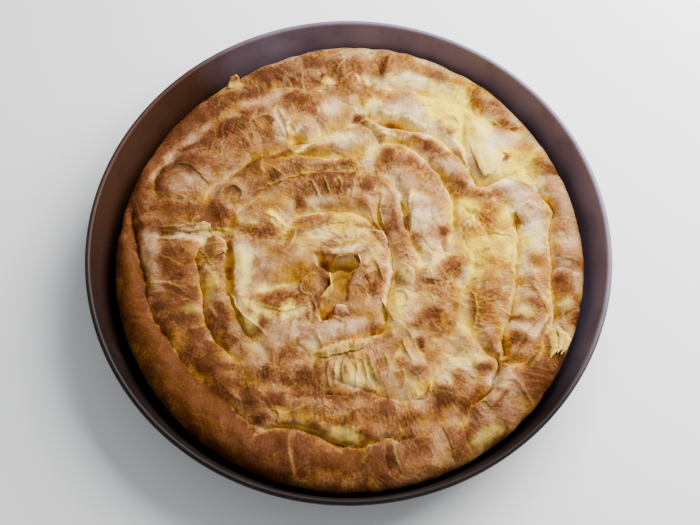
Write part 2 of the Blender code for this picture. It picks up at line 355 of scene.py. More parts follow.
def cloud(size, seed, octaves=2):
    """Noise over the map with finer noise on top, each octave half as strong as the one before."""
    return sum(0.5 ** octave * grains(size / 2.03 ** octave, seed + 31 * octave)
               for octave in range(octaves))


def window(places, margin):
    """The part of the map round some places."""
    low, high = places[:, :2].min(axis=0) - margin, places[:, :2].max(axis=0) + margin
    return tuple(
        slice(max(int((a + MAP_REACH) / CELL), 0), max(int((b + MAP_REACH) / CELL) + 2, 0))
        for a, b in zip(low, high))


def line_field(points, reach):
    """Round a line: its part of the map, the signed distance to it, positive on its left and
    BEYOND where it is out of reach, the way along it from 0 to 1, and what else its points carry."""
    line = smooth_line(points)
    steps = np.hypot(*np.diff(line[:, :2], axis=0).T)
    done = np.concatenate([[0.0], np.cumsum(steps)]) / steps.sum()
    box = window(line, reach)
    shape = MAP_X[box].shape
    gap, side = np.full(shape, BEYOND), np.ones(shape)
    carried = np.zeros((line.shape[1] - 1, *shape))
    for i, length in enumerate(steps):
        part = window(line[i:i + 2], reach)
        part = tuple(slice(p.start - b.start, p.stop - b.start) for p, b in zip(part, box))
        x, y = MAP_X[box][part], MAP_Y[box][part]
        ux, uy = (line[i + 1, :2] - line[i, :2]) / max(length, 1e-6)
        dx, dy = x - line[i, 0], y - line[i, 1]
        inside = np.clip(dx * ux + dy * uy, 0.0, length)
        here = np.hypot(dx - inside * ux, dy - inside * uy)
        nearer = here < gap[part]
        gap[part] = np.where(nearer, here, gap[part])
        side[part] = np.where(nearer, np.where(ux * dy - uy * dx >= 0, 1.0, -1.0), side[part])
        share = inside / max(length, 1e-6)
        row_a = np.array([done[i], *line[i, 2:]])
        row_b = np.array([done[i + 1], *line[i + 1, 2:]])
        for k in range(len(row_a)):
            value = blend(row_a[k], row_b[k], share)
            carried[k][part] = np.where(nearer, value, carried[k][part])
    return box, gap * side, carried[0], carried[1:]


def sample(field, x, y):
    """A field of the map at any places, mixed from the four nearest cells."""
    px = np.clip((x + MAP_REACH) / CELL, 0, len(AXIS) - 1.001)
    py = np.clip((y + MAP_REACH) / CELL, 0, len(AXIS) - 1.001)
    i, j = px.astype(int), py.astype(int)
    a, b = px - i, py - j
    return ((field[i, j] * (1 - a) + field[i + 1, j] * a) * (1 - b)
            + (field[i, j + 1] * (1 - a) + field[i + 1, j + 1] * a) * b)


def blur(field, width):
    """A field of the map made soft over a width."""
    wave = np.fft.fftfreq(len(AXIS), CELL)
    gain = np.exp(-2 * (np.pi * width * wave) ** 2)
    return np.fft.ifft2(np.fft.fft2(field) * gain[:, None] * gain[None, :]).real


def comb(field, turn, length):
    """A field drawn out along a direction at each place, which makes strands of its specks."""
    total, count = field.copy(), 1
    for away in np.arange(1.0, length + 0.1, 1.0):
        for sign in (-away, away):
            total += sample(field, MAP_X + sign * np.cos(turn), MAP_Y + sign * np.sin(turn))
            count += 1
    total /= count
    return total / total.std()


# ------------------------------------------------------------------ surface of the dough

# Folds by kind, millimetres: (height, reach, points).  An "edge" is the edge of a sheet
# that lies over the dough to its left as the points run, a "crease" a valley, a "ridge" a crest.
FOLDS = {
    "edge": (
        (1.6, 10, ((-127, 66), (-112, 62), (-97, 46))),
        (1.2, 7, ((-44, 82), (-49, 98), (-60, 106), (-72, 100))),
        (1.4, 8, ((2, 62), (-30, 60), (-55, 51), (-74, 38))),
        (2.4, 9, ((-144, 7), (-130, 14), (-110, 11), (-92, 15), (-78, 10))),
        (1.2, 6, ((-38, 9), (-22, 14), (-8, 19), (8, 21))), (1.3, 8, ((96, 138), (92, 124), (86, 112))),
        (1.5, 9, ((136, 38), (124, 33), (113, 26))), (1.6, 12, ((43, 6), (43, 30), (45, 46))),
        (1.3, 6, ((88, 8), (104, 10), (118, 8))), (1.2, 7, ((128, 98), (114, 97), (104, 104))),
        (3.0, 11, ((-51, -124), (-36, -125), (-22, -128), (-10, -135), (2, -139), (16, -138))),
        (1.6, 8, ((-52, -66), (-60, -58), (-74, -46), (-84, -22))),
        (1.3, 6, ((-64, -42), (-42, -47), (-22, -40))), (0.6, 8, ((-34, -160), (-38, -140), (-36, -126))),
        (1.2, 6, ((-106, -22), (-97, -14), (-84, -10))), (1.6, 8, ((140, -53), (150, -47), (164, -40))),
        (2.8, 14, ((104, -80), (98, -96), (86, -112))), (1.5, 8, ((60, -124), (66, -138), (69, -152))),
        (1.5, 7, ((118, -88), (126, -80), (133, -66))), (1.2, 7, ((138, -46), (130, -58), (124, -68))),
        (1.2, 7, ((30, -58), (24, -62), (14, -66))), (1.4, 7, ((84, -60), (88, -44), (84, -30))),
        (1.4, 6, ((40, -108), (52, -106), (56, -92))),
    ),
    "crease": (
        (1.6, 2.0, ((-62, 128), (-50, 131), (-38, 131))), (0.8, 2.0, ((28, 158), (24, 145), (20, 134))),
        (2.4, 1.6, ((24, 132), (42, 129), (56, 126))), (2.2, 2.2, ((94, 134), (90, 124), (85, 114))),
        (5.5, 2.2, ((20, 103), (34, 100), (50, 94))), (2.0, 2.0, ((70, 14), (64, 4), (70, -4))),
        (1.4, 1.8, ((76, 36), (84, 28), (94, 16), (98, 4))),
        (1.6, 2.0, ((-46, -112), (-28, -106), (-8, -105), (12, -110))),
        (2.4, 1.6, ((-136, 11), (-128, 11), (-120, 10))),
        (1.6, 1.8, ((-62, -27), (-46, -26), (-34, -24))),
        (1.2, 1.6, ((-152, -52), (-140, -52), (-126, -54))),
        (0.9, 2.2, ((-34, -126), (-36, -140), (-32, -164))),
        (1.6, 1.8, ((-74, -122), (-66, -126), (-56, -134))),
        (1.6, 2.0, ((-22, -94), (-24, -84), (-20, -74))), (3.0, 1.8, ((30, 2), (28, -20), (25, -46))),
        (2.6, 2.4, ((89, -10), (83, -21), (75, -30))), (2.0, 2.0, ((138, -14), (150, -15), (162, -20))),
        (4.5, 1.6, ((103, -80), (97, -96), (85, -112))), (1.6, 1.8, ((74, -120), (76, -134), (82, -146))),
        (1.6, 2.0, ((24, -134), (24, -148), (28, -160))),
        (3.2, 2.2, ((101, -60), (104, -72), (106, -80))), (1.2, 1.6, ((60, -74), (72, -78), (84, -80))),
        (1.5, 1.8, ((-20, -92), (4, -100), (30, -108), (46, -108))),
        (1.5, 1.5, ((42, -64), (46, -72), (52, -78))),
    ),
    "ridge": (
        (2.0, 2.0, ((-53, 114), (-46, 100), (-43, 84))),
        (1.6, 1.6, ((-91, 38), (-90, 45), (-83, 49), (-76, 45), (-76, 38), (-83, 35))),
        (0.9, 1.4, ((-58, 30), (-50, 20), (-42, 16))), (0.8, 1.2, ((-52, 33), (-46, 24), (-40, 20))),
        (1.4, 2.8, ((33, 160), (29, 146), (25, 136))), (0.9, 1.2, ((36, 50), (38, 57), (46, 61))),
        (0.9, 1.2, ((50, 47), (54, 52), (57, 58))), (1.6, 1.2, ((25, 44), (22, 36), (20, 22))),
        (1.6, 1.2, ((129, 73), (132, 79), (139, 82), (141, 76), (137, 70), (130, 68))),
        (1.6, 1.4, ((65, 96), (68, 103), (76, 105), (81, 98), (76, 92), (68, 92))),
        (1.5, 1.6, ((-46, 86), (-39, 76), (-29, 77), (-19, 84))),
        (1.2, 1.6, ((92, -8), (86, -17), (77, -28))), (1.4, 1.8, ((124, -22), (131, -36), (138, -52))),
        (1.8, 1.5, ((-52, -116), (-47, -115), (-45, -120), (-48, -125), (-53, -122))),
        (1.3, 1.8, ((-34, -44), (-38, -58), (-40, -72))), (1.6, 1.2, ((-14, -49), (-8, -52), (-2, -55))),
        (1.4, 1.2, ((-25, -37), (-22, -43), (-21, -50), (-19, -56))),
        (1.3, 1.1, ((-20, -34), (-30, -34), (-33, -28), (-27, -20), (-18, -21))),
        (1.8, 1.6, ((8, -10), (13, -13), (18, -10), (22, -16), (24, -28))),
        (1.4, 1.2, ((9, -4), (14, 0), (19, 3))), (1.4, 1.0, ((25, 42), (22, 32), (23, 22), (26, 13))),
        (1.6, 1.0, ((-12, -80), (-14, -90), (-13, -101))), (1.5, 0.9, ((-6, -78), (-9, -88), (-9, -100))),
        (1.7, 1.0, ((0, -77), (-4, -86), (-3, -99))), (1.5, 1.0, ((5, -79), (6, -88), (4, -102))),
        (1.6, 0.9, ((9, -80), (12, -90), (12, -101))), (1.4, 0.9, ((-27, 55), (-24, 46), (-20, 38))),
        (1.4, 0.9, ((-18, 57), (-15, 48), (-13, 40))), (1.4, 0.9, ((-9, 58), (-5, 50), (-7, 41))),
        (1.4, 0.9, ((2, 56), (4, 47), (1, 38))), (1.3, 0.9, ((-60, 28), (-52, 22), (-44, 19))),
        (1.3, 1.0, ((40, -60), (44, -68), (48, -80))), (1.3, 0.9, ((36, -64), (38, -74), (44, -84))),
        (1.8, 1.5, ((-140, 10), (-132, 14), (-120, 15), (-108, 17), (-95, 18))),
        (1.3, 1.3, ((-139, 9), (-130, 7), (-120, 6), (-109, 9))),
        (1.0, 1.0, ((-1, -30), (4, -26), (10, -21), (15, -14))),
        (0.9, 1.2, ((-31, -82), (-36, -90), (-41, -98))), (1.5, 2.2, ((3, -72), (-1, -84), (2, -95))),
        (1.5, 2.0, ((13, -74), (15, -85), (20, -97))), (1.3, 1.6, ((22, -72), (27, -86), (26, -98))),
        (1.5, 1.5, ((30, -46), (28, -38), (33, -31), (39, -33), (40, -41), (34, -48))),
        (1.0, 2.2, ((138, -9), (150, -7), (163, -10))),
        (1.1, 2.4, ((104, -88), (114, -100), (124, -114))),
        (1.2, 2.0, ((30, -132), (30, -146), (36, -158))),
    ),
}

# Patches, by kind and by strength: (x, y, half length, half width, turn), in millimetres
# and degrees.  A patch that isn't turned leaves out the turn, and a round one the half width too.
# "toast" browns the dough, and in three narrow gaps paints shade, "butter" wets it, "pale"
# leaves it smooth and floury, "pink" only flours it, "cream" keeps it the cream of dough that
# has hardly baked, "crinkle" wrinkles it, "froth" lays tiny bubbles, and "bump" lifts it by as
# many millimetres.  A strength below zero does the opposite.
PATCHES = {
    "toast": {
        -0.34: ((48, 133, 20, 8, -8),),
        -0.3: ((-45, 90, 10, 8), (-24, -26, 9, 8)),
        -0.29: ((92, 90, 9, 10), (2, 3, 16, 7)),
        -0.25: ((92, 90, 11, 9), (-5, 86, 22, 6, 5), (92, 90, 11, 9)),
        -0.24: ((45, 95, 12, 7, -20), (92, 90, 10), (47, 30, 9, 16)),
        -0.22: ((20, 115, 9, 8), (70, 104, 14, 12), (85, 122, 9), (45, 134, 16, 7, -8), (38, 34, 8, 9)),
        -0.2: ((82, 18, 7, 5),),
        -0.19: ((-4, -6, 18, 9), (66, 120, 14, 14, -30)),
        -0.18: ((45, 132, 10, 7), (22, 112, 8, 9), (30, 90, 14, 5, -20)),
        -0.17: ((-90, 131, 8, 6), (88, 25, 8), (130, -10, 8), (38, -80, 12, 9), (107, 60, 8, 7),
            (45, 95, 11, 6, -20), (-27, 4, 10, 9), (52, 96, 14, 6, -20)),
        -0.16: ((-30, -121, 26, 7, -12), (85, 120, 10, 6, -20), (-2, 80, 9, 7), (92, 89, 9, 7)),
        -0.15: ((-15, 12, 10, 8), (68, 110, 10, 12), (-62, 98, 10, 8), (-67, 20, 10, 8), (-97, -9, 7, 5),
            (10, 66, 8, 6)),
        -0.14: ((107, 60, 9, 8), (-62, 97, 7, 14, 10), (-33, 107, 10, 9), (-70, 22, 10, 7), (38, -3, 7),
            (58, -8, 9, 8), (90, -35, 8), (40, -40, 10, 14), (75, -93, 12, 8, 25), (84, 120, 8),
            (40, 38, 7), (86, 22, 8, 7), (127, 5, 7, 10), (30, 88, 8, 6), (-130, 25, 7, 10),
            (50, -50, 7, 9)),
        -0.13: ((-38, 105, 12), (70, -92, 10, 14, -45), (95, -60, 8, 14), (130, -10, 6, 16)),
        -0.12: ((125, 10, 7, 12), (128, -45, 8), (-30, -60, 8, 12), (-15, -95, 8, 6),
            (-30, -122, 14, 5, -10), (-27, 70, 10, 7), (0, 78, 9, 8), (130, 70, 9), (40, -80, 10, 8),
            (70, -95, 9, 7), (92, -52, 7, 10), (-62, 97, 6, 9), (0, -130, 14, 5, -15), (8, 110, 7, 5),
            (-125, -42, 6, 14), (-70, -45, 14, 8), (-30, -8, 8, 10), (-28, -50, 8, 10), (-25, -68, 12, 6),
            (-12, -94, 14, 5, -25), (40, -82, 14, 7, 15), (55, -15, 10, 12), (97, 28, 6, 10),
            (108, 60, 8, 4), (28, -84, 7, 8), (-15, -118, 16, 4, -10), (-140, 24, 16, 5),
            (2, 0, 8, 14, -20), (50, -152, 14, 8), (30, 90, 8, 5)),
        -0.1: ((-60, -25, 7, 12), (-75, -42, 6, 8), (95, -62, 7), (-35, 107, 8, 7), (-38, 74, 8, 7),
            (-25, 52, 10, 8), (-88, -32, 8, 10), (-35, 148, 14, 8), (0, 142, 5, 10), (120, -72, 6, 8),
            (-90, 75, 14, 16, 30), (-60, 98, 14, 8), (-125, -38, 6, 8), (45, 132, 10, 6),
            (-28, -150, 7, 8), (-60, -30, 14, 16), (-50, 88, 16, 9), (-28, 92, 12, 8),
            (45, 132, 9, 5, -20), (70, 122, 10, 8, -30), (30, -88, 7, 11), (38, 32, 6, 10)),
        -0.09: ((0, -70, 12, 6), (128, -44, 6, 12), (70, -140, 8, 7)),
        -0.08: ((130, 72, 8), (-20, -66, 16, 6), (60, -98, 12, 6)),
        -0.07: ((115, -75, 8, 10), (96, -98, 9, 8)),
        0.06: ((78, -24, 8, 10),),
        0.08: ((-38, -138, 10, 12), (-60, 122, 16, 6, 15), (8, -88, 9, 6), (-28, 128, 8, 6),
            (132, 43, 9, 6, -30), (130, 92, 8), (20, 57, 10, 8)),
        0.09: ((-50, -102, 8, 6), (40, -112, 8, 6), (152, 30, 9, 12), (80, 50, 8), (-60, 50, 12, 6, 35),
            (10, 21, 9, 5, -20)),
        0.1: ((150, 45, 12, 30, 8), (-65, 122, 14, 6), (110, -50, 6, 12), (20, 15, 8, 4, -30),
            (-88, 10, 10, 6), (12, 54, 16, 8, -10), (58, 48, 7, 16, 20), (-148, -32, 7, 12, 10),
            (-92, -108, 14, 8, -45), (-12, -36, 6, 8), (81, -28, 7, 11), (36, -110, 9, 6),
            (65, 36, 5, 11), (-42, 26, 9), (-50, 8, 8), (-92, 8, 9), (46, 64, 7, 8)),
        0.11: ((-132, 72, 9), (-110, -25, 8, 14), (5, -147, 12, 8), (150, -55, 8, 9), (105, 40, 9, 7),
            (72, 72, 10, 8, -30), (20, 17, 8, 6)),
        0.12: ((120, -95, 8, 10, -30), (-115, -82, 14, 6, -55), (110, 43, 22, 6, -8), (-150, 5, 8, 14),
            (-155, 22, 5, 12), (-8, 66, 14, 7), (78, 72, 8, 10), (112, 42, 22, 8, -10), (80, 72, 8, 9)),
        0.13: ((-25, 142, 6, 14), (-100, 28, 9), (-50, 14, 9, 7), (-134, -8, 8, 12), (-88, -15, 5, 10),
            (-105, -45, 8, 9), (110, -47, 9, 10), (75, -28, 8, 10), (132, 38, 12, 7, -30),
            (-22, 128, 9, 12), (-144, -30, 7, 13, 10), (-92, -108, 16, 7, -50), (95, -129, 10, 5, 25)),
        0.14: ((104, -112, 16, 14, 45), (-34, -20, 10, 6, -10), (-130, -60, 9, 10, 30),
            (-65, 125, 12, 6, 25)),
        0.15: ((-150, 44, 8, 12), (-152, 36, 8, 12), (-130, -62, 10, 12, 30), (-20, -105, 9, 5),
            (25, -135, 11, 8), (118, -95, 9, 12, -30), (140, -80, 8, 10, -20), (110, -20, 8, 12),
            (-150, -5, 8, 14), (95, -130, 10, 8), (-130, -62, 10, 6, -55), (-75, -122, 14, 8, -30),
            (-48, -34, 14, 5, 10), (142, -68, 9, 10), (109, 34, 9, 7)),
        0.16: ((-85, 75, 20, 10, 40), (-103, 38, 6, 12, 30), (28, 120, 11, 6), (-38, 88, 8, 3),
            (34, -74, 14, 11, -10), (40, -118, 8, 6), (-108, -6, 14, 5, 15), (-114, 50, 12, 8),
            (45, 58, 12, 8)),
        0.18: ((108, 2, 8, 5), (80, 58, 10), (112, 40, 18, 9, -20), (-110, 84, 8, 10),
            (-55, -133, 12, 7, -20), (156, -10, 8, 10)),
        0.19: ((95, -130, 12, 8, 45), (-158, -10, 6, 14)),
        0.2: ((122, -25, 6, 8), (131, -48, 6, 8), (8, 100, 8), (45, 86, 14, 8, -15), (102, -10, 8, 6),
            (112, -79, 8, 4, 20), (22, -61, 8, 3, 20), (90, -86, 8, 6), (80, -128, 5),
            (-36, -104, 10, 4, -20), (-20, -150, 24, 12, 5), (-4, 3, 14, 2.5, 5), (110, -20, 8, 14),
            (70, -50, 12, 10), (9, -86, 7, 8), (20, 12, 7, 9), (-40, 146, 16, 8, 15),
            (-48, 132, 10, 6, 10), (-100, 98, 12, 8, 40), (-90, 8, 7, 9), (-145, -30, 9, 14),
            (-92, -107, 16, 8, -45), (-76, -26, 3, 4), (37, -125, 5, 6), (140, -66, 7, 10)),
        0.22: ((66, 126, 11, 6, -20), (-28, 72, 18, 6, 10), (100, -30, 12, 9), (22, -22, 7, 8, 20),
            (46, -89, 7, 5), (-130, -86, 16, 9, -55), (-157, -4, 5, 22), (-120, -36, 14),
            (-56, -92, 10, 6, -20), (-60, 50, 14, 4, 35), (45, 68, 10, 8, -30), (-8, 128, 12, 8),
            (2, 52, 16, 8), (156, -14, 8, 12), (-115, -85, 16, 8, -55), (-70, -125, 14, 8, -30),
            (82, -115, 12, 7, 50), (97, -131, 12, 8, 45)),
        0.24: ((-128, 85, 14, 8, 52), (36, 150, 10, 8), (4, 132, 14, 9), (-85, 46, 8, 6),
            (-58, -56, 6, 5), (-134, 50, 10, 14, 20), (-45, 55, 14, 8, 20), (42, 4, 8, 14, -35),
            (-65, 125, 14, 7, 25)),
        0.25: ((84, -106, 9, 5, 50), (140, -68, 9, 10), (8, -85, 4, 7, 20), (-73, -6, 3, 7, 20),
            (-68, -38, 5, 4), (28, -117, 6, 5)),
        0.26: ((-10, 140, 14, 8), (5, 148, 14, 9), (98, 114, 10, 8), (46, 128, 14, 7, -10),
            (125, 82, 10, 6, -10), (100, -62, 5, 12, -10), (105, -71, 4, 9, 10), (74, -18, 10, 5, -15),
            (60, -35, 18, 10, -15), (-88, -106, 14, 10, -40), (-104, -112, 26, 14, -45),
            (62, 58, 9, 13, 30), (-76, -122, 14, 8, -30), (29, 22, 6, 20, 10), (-92, -110, 16, 8, -45)),
        0.28: ((111, 110, 6, 11, 30), (70, 98, 12, 7, -30), (96, 34, 9, 15, 15), (2, -82, 4, 12, 10),
            (20, -86, 3, 13, -15), (-45, -152, 20, 8, -12), (-140, -62, 14, 9, -65), (-24, -90, 14, 7),
            (-45, -72, 12, 10)),
        0.3: ((-88, 119, 14, 8, 35), (-68, 141, 6, 5), (-60, 95, 10, 16, 10), (-122, 30, 20, 7, -10),
            (-62, 69, 22, 8, 30), (157, -50, 8, 6, 40), (4, -48, 7, 4), (19, -58, 10, 4, 10),
            (20, -150, 16, 12), (0, -148, 14, 10), (41, -140, 10, 13), (-146, -44, 7, 5),
            (-112, -92, 12, 8, -40), (-110, -78, 10, 6, -40), (-36, -76, 10, 6, -10), (-33, 45, 8, 10),
            (-22, -42, 4, 8), (-120, -8, 22, 10), (126, -90, 10, 14, -30), (16, -88, 2, 8, -15),
            (0, -10, 7, 2), (-15, -47, 5), (14, -89, 3, 8, 20), (-118, -80, 16, 7, -55)),
        0.32: ((130, -9, 7), (95, 22, 6, 4), (127, -88, 6, 9, 30), (-75, -98, 7, 4),
            (75, -134, 5, 11, 10), (-28, -136, 8, 6), (-68, 126, 14, 6, 25)),
        0.34: ((-110, 104, 20, 9, 42), (-62, 140, 18, 8, 20), (62, 140, 16, 7, -20), (-118, 80, 9, 4, 30),
            (-114, 61, 11, 4, -40), (-94, 25, 16, 8, -20), (-72, 112, 10, 4, 30), (-44, 122, 7, 5),
            (-89, 28, 9, 5, -20), (0, 74, 11, 9), (90, -40, 10), (93, -52, 8, 7), (116, -51, 12, 3, -12),
            (146, -27, 9, 9, -30), (124, -98, 7, 15, -35), (-4, -107, 14, 5, 5), (-72, -140, 28, 12, -28),
            (-125, -16, 10, 8), (-112, -51, 11, 5, 10), (-100, -61, 10, 8, -30), (-28, -30, 6, 5),
            (24, 62, 6), (-30, 134, 16, 8, 5), (-130, -68, 16, 9, -60)),
        0.35: ((-3, -89, 2, 8, -10), (9, -84, 2, 8, 25), (-15, -106, 24, 3, -3), (-92, -110, 18, 9, -45)),
        0.36: ((-22, 152, 16, 9, 10), (141, 62, 11, 8), (-28, 109, 6, 5), (15, 128, 12, 8),
            (126, 48, 9, 4, -20), (82, 46, 12, 8, -20), (66, -12, 14, 7, -5), (34, -20, 4, 5),
            (73, -94, 6, 9, 15), (-58, -121, 7, 4), (-96, -85, 8, 6), (-48, -37, 17, 6, -5),
            (-28, 22, 10, 5, 10), (9, 17, 8, 5, -20), (100, -128, 14, 9, 40)),
        0.38: ((-30, 153, 8, 6), (-95, 90, 22, 7, 35), (-150, -30, 8, 10)),
        # Among these, (-83, -15) is painted shade down the slot at the left.
        0.4: ((-80, 98, 13, 7, 25), (-122, 66, 12, 3, 25), (85, 90, 3, 7), (118, 20, 4, 6),
            (47, -56, 5, 4), (60, -60, 9, 5, -35), (38, -57, 3), (12, -22, 4), (58, -116, 6, 7),
            (25, -112, 9, 7, -10), (8, -132, 5, 3), (-35, -97, 15, 5, -8), (-129, -43, 4),
            (-93, -70, 6, 3, -20), (-15, 59, 24, 4, 6), (0, 58, 6, 4), (-35, 33, 5), (28, 74, 12, 9, -20),
            (67, 5, 4, 8, 10), (-9, -86, 2, 9, 20), (-83, -15, 2.5, 16), (-145, -35, 9, 18, 12)),
        0.42: ((25, 146, 5, 13, -10), (61, 78, 14, 7, -25), (35, -83, 8, 4, -25), (12, -105, 7, 5),
            (-50, -136, 10, 8, 20), (-85, -50, 6, 13, 20), (-146, -22, 7, 20, 8), (14, 48, 7, 8)),
        0.44: ((-35, 115, 13, 12),),
        0.45: ((-97, 88, 5, 3, 30), (126, -41, 8, 5, -20), (115, -67, 9, 6, -20), (22, -153, 5, 8),
            (-106, -33, 5, 7), (-92, 0, 6, 8, 30), (-14, 48, 14, 9, -35), (-64, 12, 20, 5, -15)),
        # Among these, (41, 22) is painted shade in the slit beside the middle.
        0.5: ((-148, 30, 7, 5), (91, 125, 5, 12, -25), (114, 98, 11, 4, -15), (-85, 140, 6, 4, 20),
            (17, -31, 9, 6, -10), (62, -106, 10, 7, -20), (-48, -109, 8, 6, 10), (-80, -85, 5, 3),
            (-128, 10, 7, 3, -5), (-84, 138, 6, 5), (41, 22, 3, 12, -12), (-17, -9, 4, 5)),
        0.52: ((-65, -105, 8, 6, 20),),
        0.55: ((54, -25, 6, 3, -10), (55, -50, 9, 7, 10), (75, -113, 4, 6), (68, 14, 6, 4)),
        0.6: ((6, 103, 4), (-30, -157, 3), (-118, -22, 5, 3)),
        0.62: ((47, -70, 4, 7, 25),),
        # Painted shade in the gap under the lip.
        0.65: ((33, 100, 12, 2.5, -14),),
        0.75: ((112, 70, 4.5),),
    },
    "butter": {
        -1.2: ((92, 88, 9, 8),),
        -0.6: ((-45, 153, 14, 8, 15), (4, 159, 18, 7), (45, 133, 14, 8, -5), (98, 58, 8), (30, -48, 8, 9),
            (48, -108, 9, 7), (140, -68, 9, 12)),
        -0.5: ((0, 85, 14, 9), (-15, 68, 12, 7), (-130, 65, 12, 14, 30), (-90, 48, 9, 8), (-70, -5, 12),
            (-72, -32, 9, 14), (-20, -72, 12, 8), (0, -95, 14, 9), (75, -82, 12, 9), (92, -110, 9, 12)),
        -0.4: ((-45, 78, 9, 7), (-70, -50, 9), (-10, -32, 8, 12), (90, -130, 12, 9), (155, 20, 9, 22),
            (30, -15, 9, 12), (25, -128, 12, 9), (-10, -131, 12, 8), (-60, -80, 10, 8)),
        -0.3: ((-40, 136, 14, 8), (30, 26, 12), (-100, 5, 9, 8), (118, -8, 8, 12)),
        0.2: ((88, 84, 12, 10), (-35, 3, 14, 8, 20)),
        0.25: ((12, 114, 12, 5), (75, 8, 6, 12)),
        0.3: ((-28, -121, 24, 7, -12), (-105, -95, 20, 10, -45), (50, -100, 14, 8, -30),
            (128, 60, 9, 14, -20)),
        0.35: ((90, -5, 9),),
        0.4: ((-149, 58, 12, 20, -10), (-120, 26, 20, 8, -10), (84, -40, 22, 30, 10), (40, 75, 9, 8),
            (15, 125, 9, 7), (100, -50, 18, 8, -25), (78, 30, 8, 14), (-24, -26, 9, 8)),
        0.5: ((123, 58, 15, 9), (70, 112, 34, 14, -30), (100, 84, 26, 16, -50), (-150, -40, 16, 50, 10),
            (-110, -112, 60, 22, -45), (146, -38, 8), (20, -50, 14, 8), (56, -78, 16, 9, 30),
            (-30, -118, 26, 7, -18), (-100, -118, 40, 14, -45), (-50, -155, 40, 10, -15),
            (-66, -88, 14, 8, -35), (-50, 10, 12, 10), (-34, -14, 14, 10), (-30, 115, 12, 9),
            (88, 92, 12, 10), (75, 33, 7, 11), (130, 5, 8, 10), (85, 128, 12, 8, -30),
            (-30, 5, 16, 10, -35), (15, 118, 14, 10), (60, -58, 8, 14, -20), (130, 5, 10, 12)),
        0.6: ((130, -9, 8), (42, 86, 16, 9, -15), (124, -98, 7, 15, -35), (75, -134, 6, 12, 10),
            (-130, -76, 20, 10, -60), (-156, -4, 6, 26), (-112, -66, 11, 8, -30), (92, -45, 9, 10),
            (125, -90, 9, 10), (75, 108, 20, 16), (34, -40, 8, 11, -15)),
        0.7: ((0, 74, 14, 10), (98, 0, 26, 34), (135, -76, 7, 13), (40, -120, 12, 8),
            (-76, -46, 5, 12, 20), (-144, -60, 12, 14), (0, 20, 16, 8), (0, -150, 24, 9),
            (78, 30, 10, 12), (-140, -55, 10, 16, 20), (-10, -150, 20, 10)),
        0.8: ((-103, 40, 6, 13, 30), (90, 4, 14, 11), (-94, -22, 8, 9), (-55, 32, 14, 9, 30),
            (-4, 26, 16, 4), (86, 34, 14), (65, -52, 12, 9), (-130, -72, 14), (128, 66, 10, 18),
            (92, -5, 12, 11), (105, 20, 12, 22, -30)),
        0.9: ((-94, 22, 18, 9, -20), (66, 114, 18, 9, -30), (130, 70, 14, 8, -30), (-28, 73, 20, 8, 10),
            (80, 32, 9, 5, -20), (84, -106, 10, 5, 50), (6, -126, 22, 8, -10), (-144, -46, 8, 6),
            (-48, -37, 18, 7, -5), (-4, 3, 16, 3, 5), (-150, -26, 10, 18)),
        1.0: ((36, 101, 14, 3, -12), (100, 56, 12, 5, 20), (142, 35, 4, 10, 5), (-58, 70, 26, 9, 30),
            (-38, 88, 9, 4), (105, -71, 4, 10, 10), (26, -60, 9, 4, 20), (-110, -8, 18, 7, 15),
            (-83, -16, 4, 18), (-86, -75, 12, 7, -35), (-34, -20, 13, 8, -10), (96, -2, 20, 22),
            (130, 68, 12), (76, 108, 14, 12), (-96, -100, 24, 16, -40), (-150, -30, 10, 18),
            (50, -15, 7, 4, -40), (86, 92, 12, 10), (100, 22, 14, 16), (-100, -100, 26, 18, -45),
            (90, 130, 14, 8, -30)),
        1.4: ((96, -6, 16, 14),),
        1.5: ((78, 114, 18, 16),),
        1.6: ((125, 68, 14),),
    },
    "pale": {
        -0.4: ((75, 108, 18, 14), (128, 66, 10, 16), (92, -5, 12, 10), (105, 20, 12, 20, -30)),
        0.3: ((122, 108, 8, 12, 40), (-90, 68, 10, 7)),
        0.35: ((-33, 99, 10, 5, 10), (-52, -12, 12, 8), (64, 28, 8, 14)),
        0.4: ((-50, 156, 9, 5, 20), (-92, 30, 6, 3, -20), (66, -88, 12, 5, 30), (44, -161, 14, 5, 10),
            (-76, -60, 6, 10, 25), (0, -3, 14, 4), (58, 2, 8, 14)),
        0.45: ((140, 80, 9, 22, 30), (108, -25, 5, 16, 5), (-33, -160, 6, 10)),
        0.5: ((-119, 50, 12, 9), (110, 86, 16, 8, -20), (-82, 52, 6, 3, 30), (56, 88, 6, 4),
            (158, -24, 5, 10), (26, -92, 3, 9), (104, -116, 14, 12, 40), (100, -133, 16, 5, 35),
            (58, -140, 7, 14, 10), (-56, -127, 9, 4, 45), (-88, -36, 7, 5), (130, 4, 8, 14),
            (27, 28, 4, 12, 5)),
        0.55: ((156, 5, 9, 16), (-105, 57, 12, 9), (40, 52, 9, 12)),
        0.6: ((154, 40, 10, 34, 8), (45, 112, 15, 8, -20), (-80, 62, 14, 3, 40), (126, -60, 9, 4, 50),
            (152, -14, 12, 7, -15), (0, -56, 15, 6), (-132, -22, 6, 20, 10), (-52, -70, 12, 8),
            (-20, 37, 14, 4, 5), (-44, -60, 12, 11)),
        0.65: ((60, 152, 15, 5, -25), (-12, 113, 9)),
        0.7: ((20, 165, 14, 5), (75, 121, 9, 4, -30), (-139, 58, 9, 3, 60), (-103, 98, 7, 3, 40),
            (96, 84, 9, 18, 20), (73, 64, 11, 7, -20), (79, -22, 4, 10, -35), (114, -57, 14, 5, -25),
            (108, -98, 14, 9, -50)),
        0.75: ((-62, 120, 18, 7, 20), (-50, 100, 6, 18, 10), (118, 42, 15, 10, -35), (131, 14, 8, 26, 5),
            (50, 24, 11, 20)),
        0.8: ((-12, 166, 10, 4, 5), (-74, -20, 6, 16, 8), (-14, -60, 11, 7), (-112, 14, 12, 4),
            (97, -94, 6, 10, -20)),
        0.9: ((-113, 88, 9, 4, 40), (-128, 72, 10, 5, 55), (-112, 8, 26, 3), (42, 108, 16, 5, -25)),
        1.0: ((38, 134, 19, 4, -5), (-138, 0, 10, 20, 10), (-73, -2, 10, 7, -25)),
    },
    "pink": {
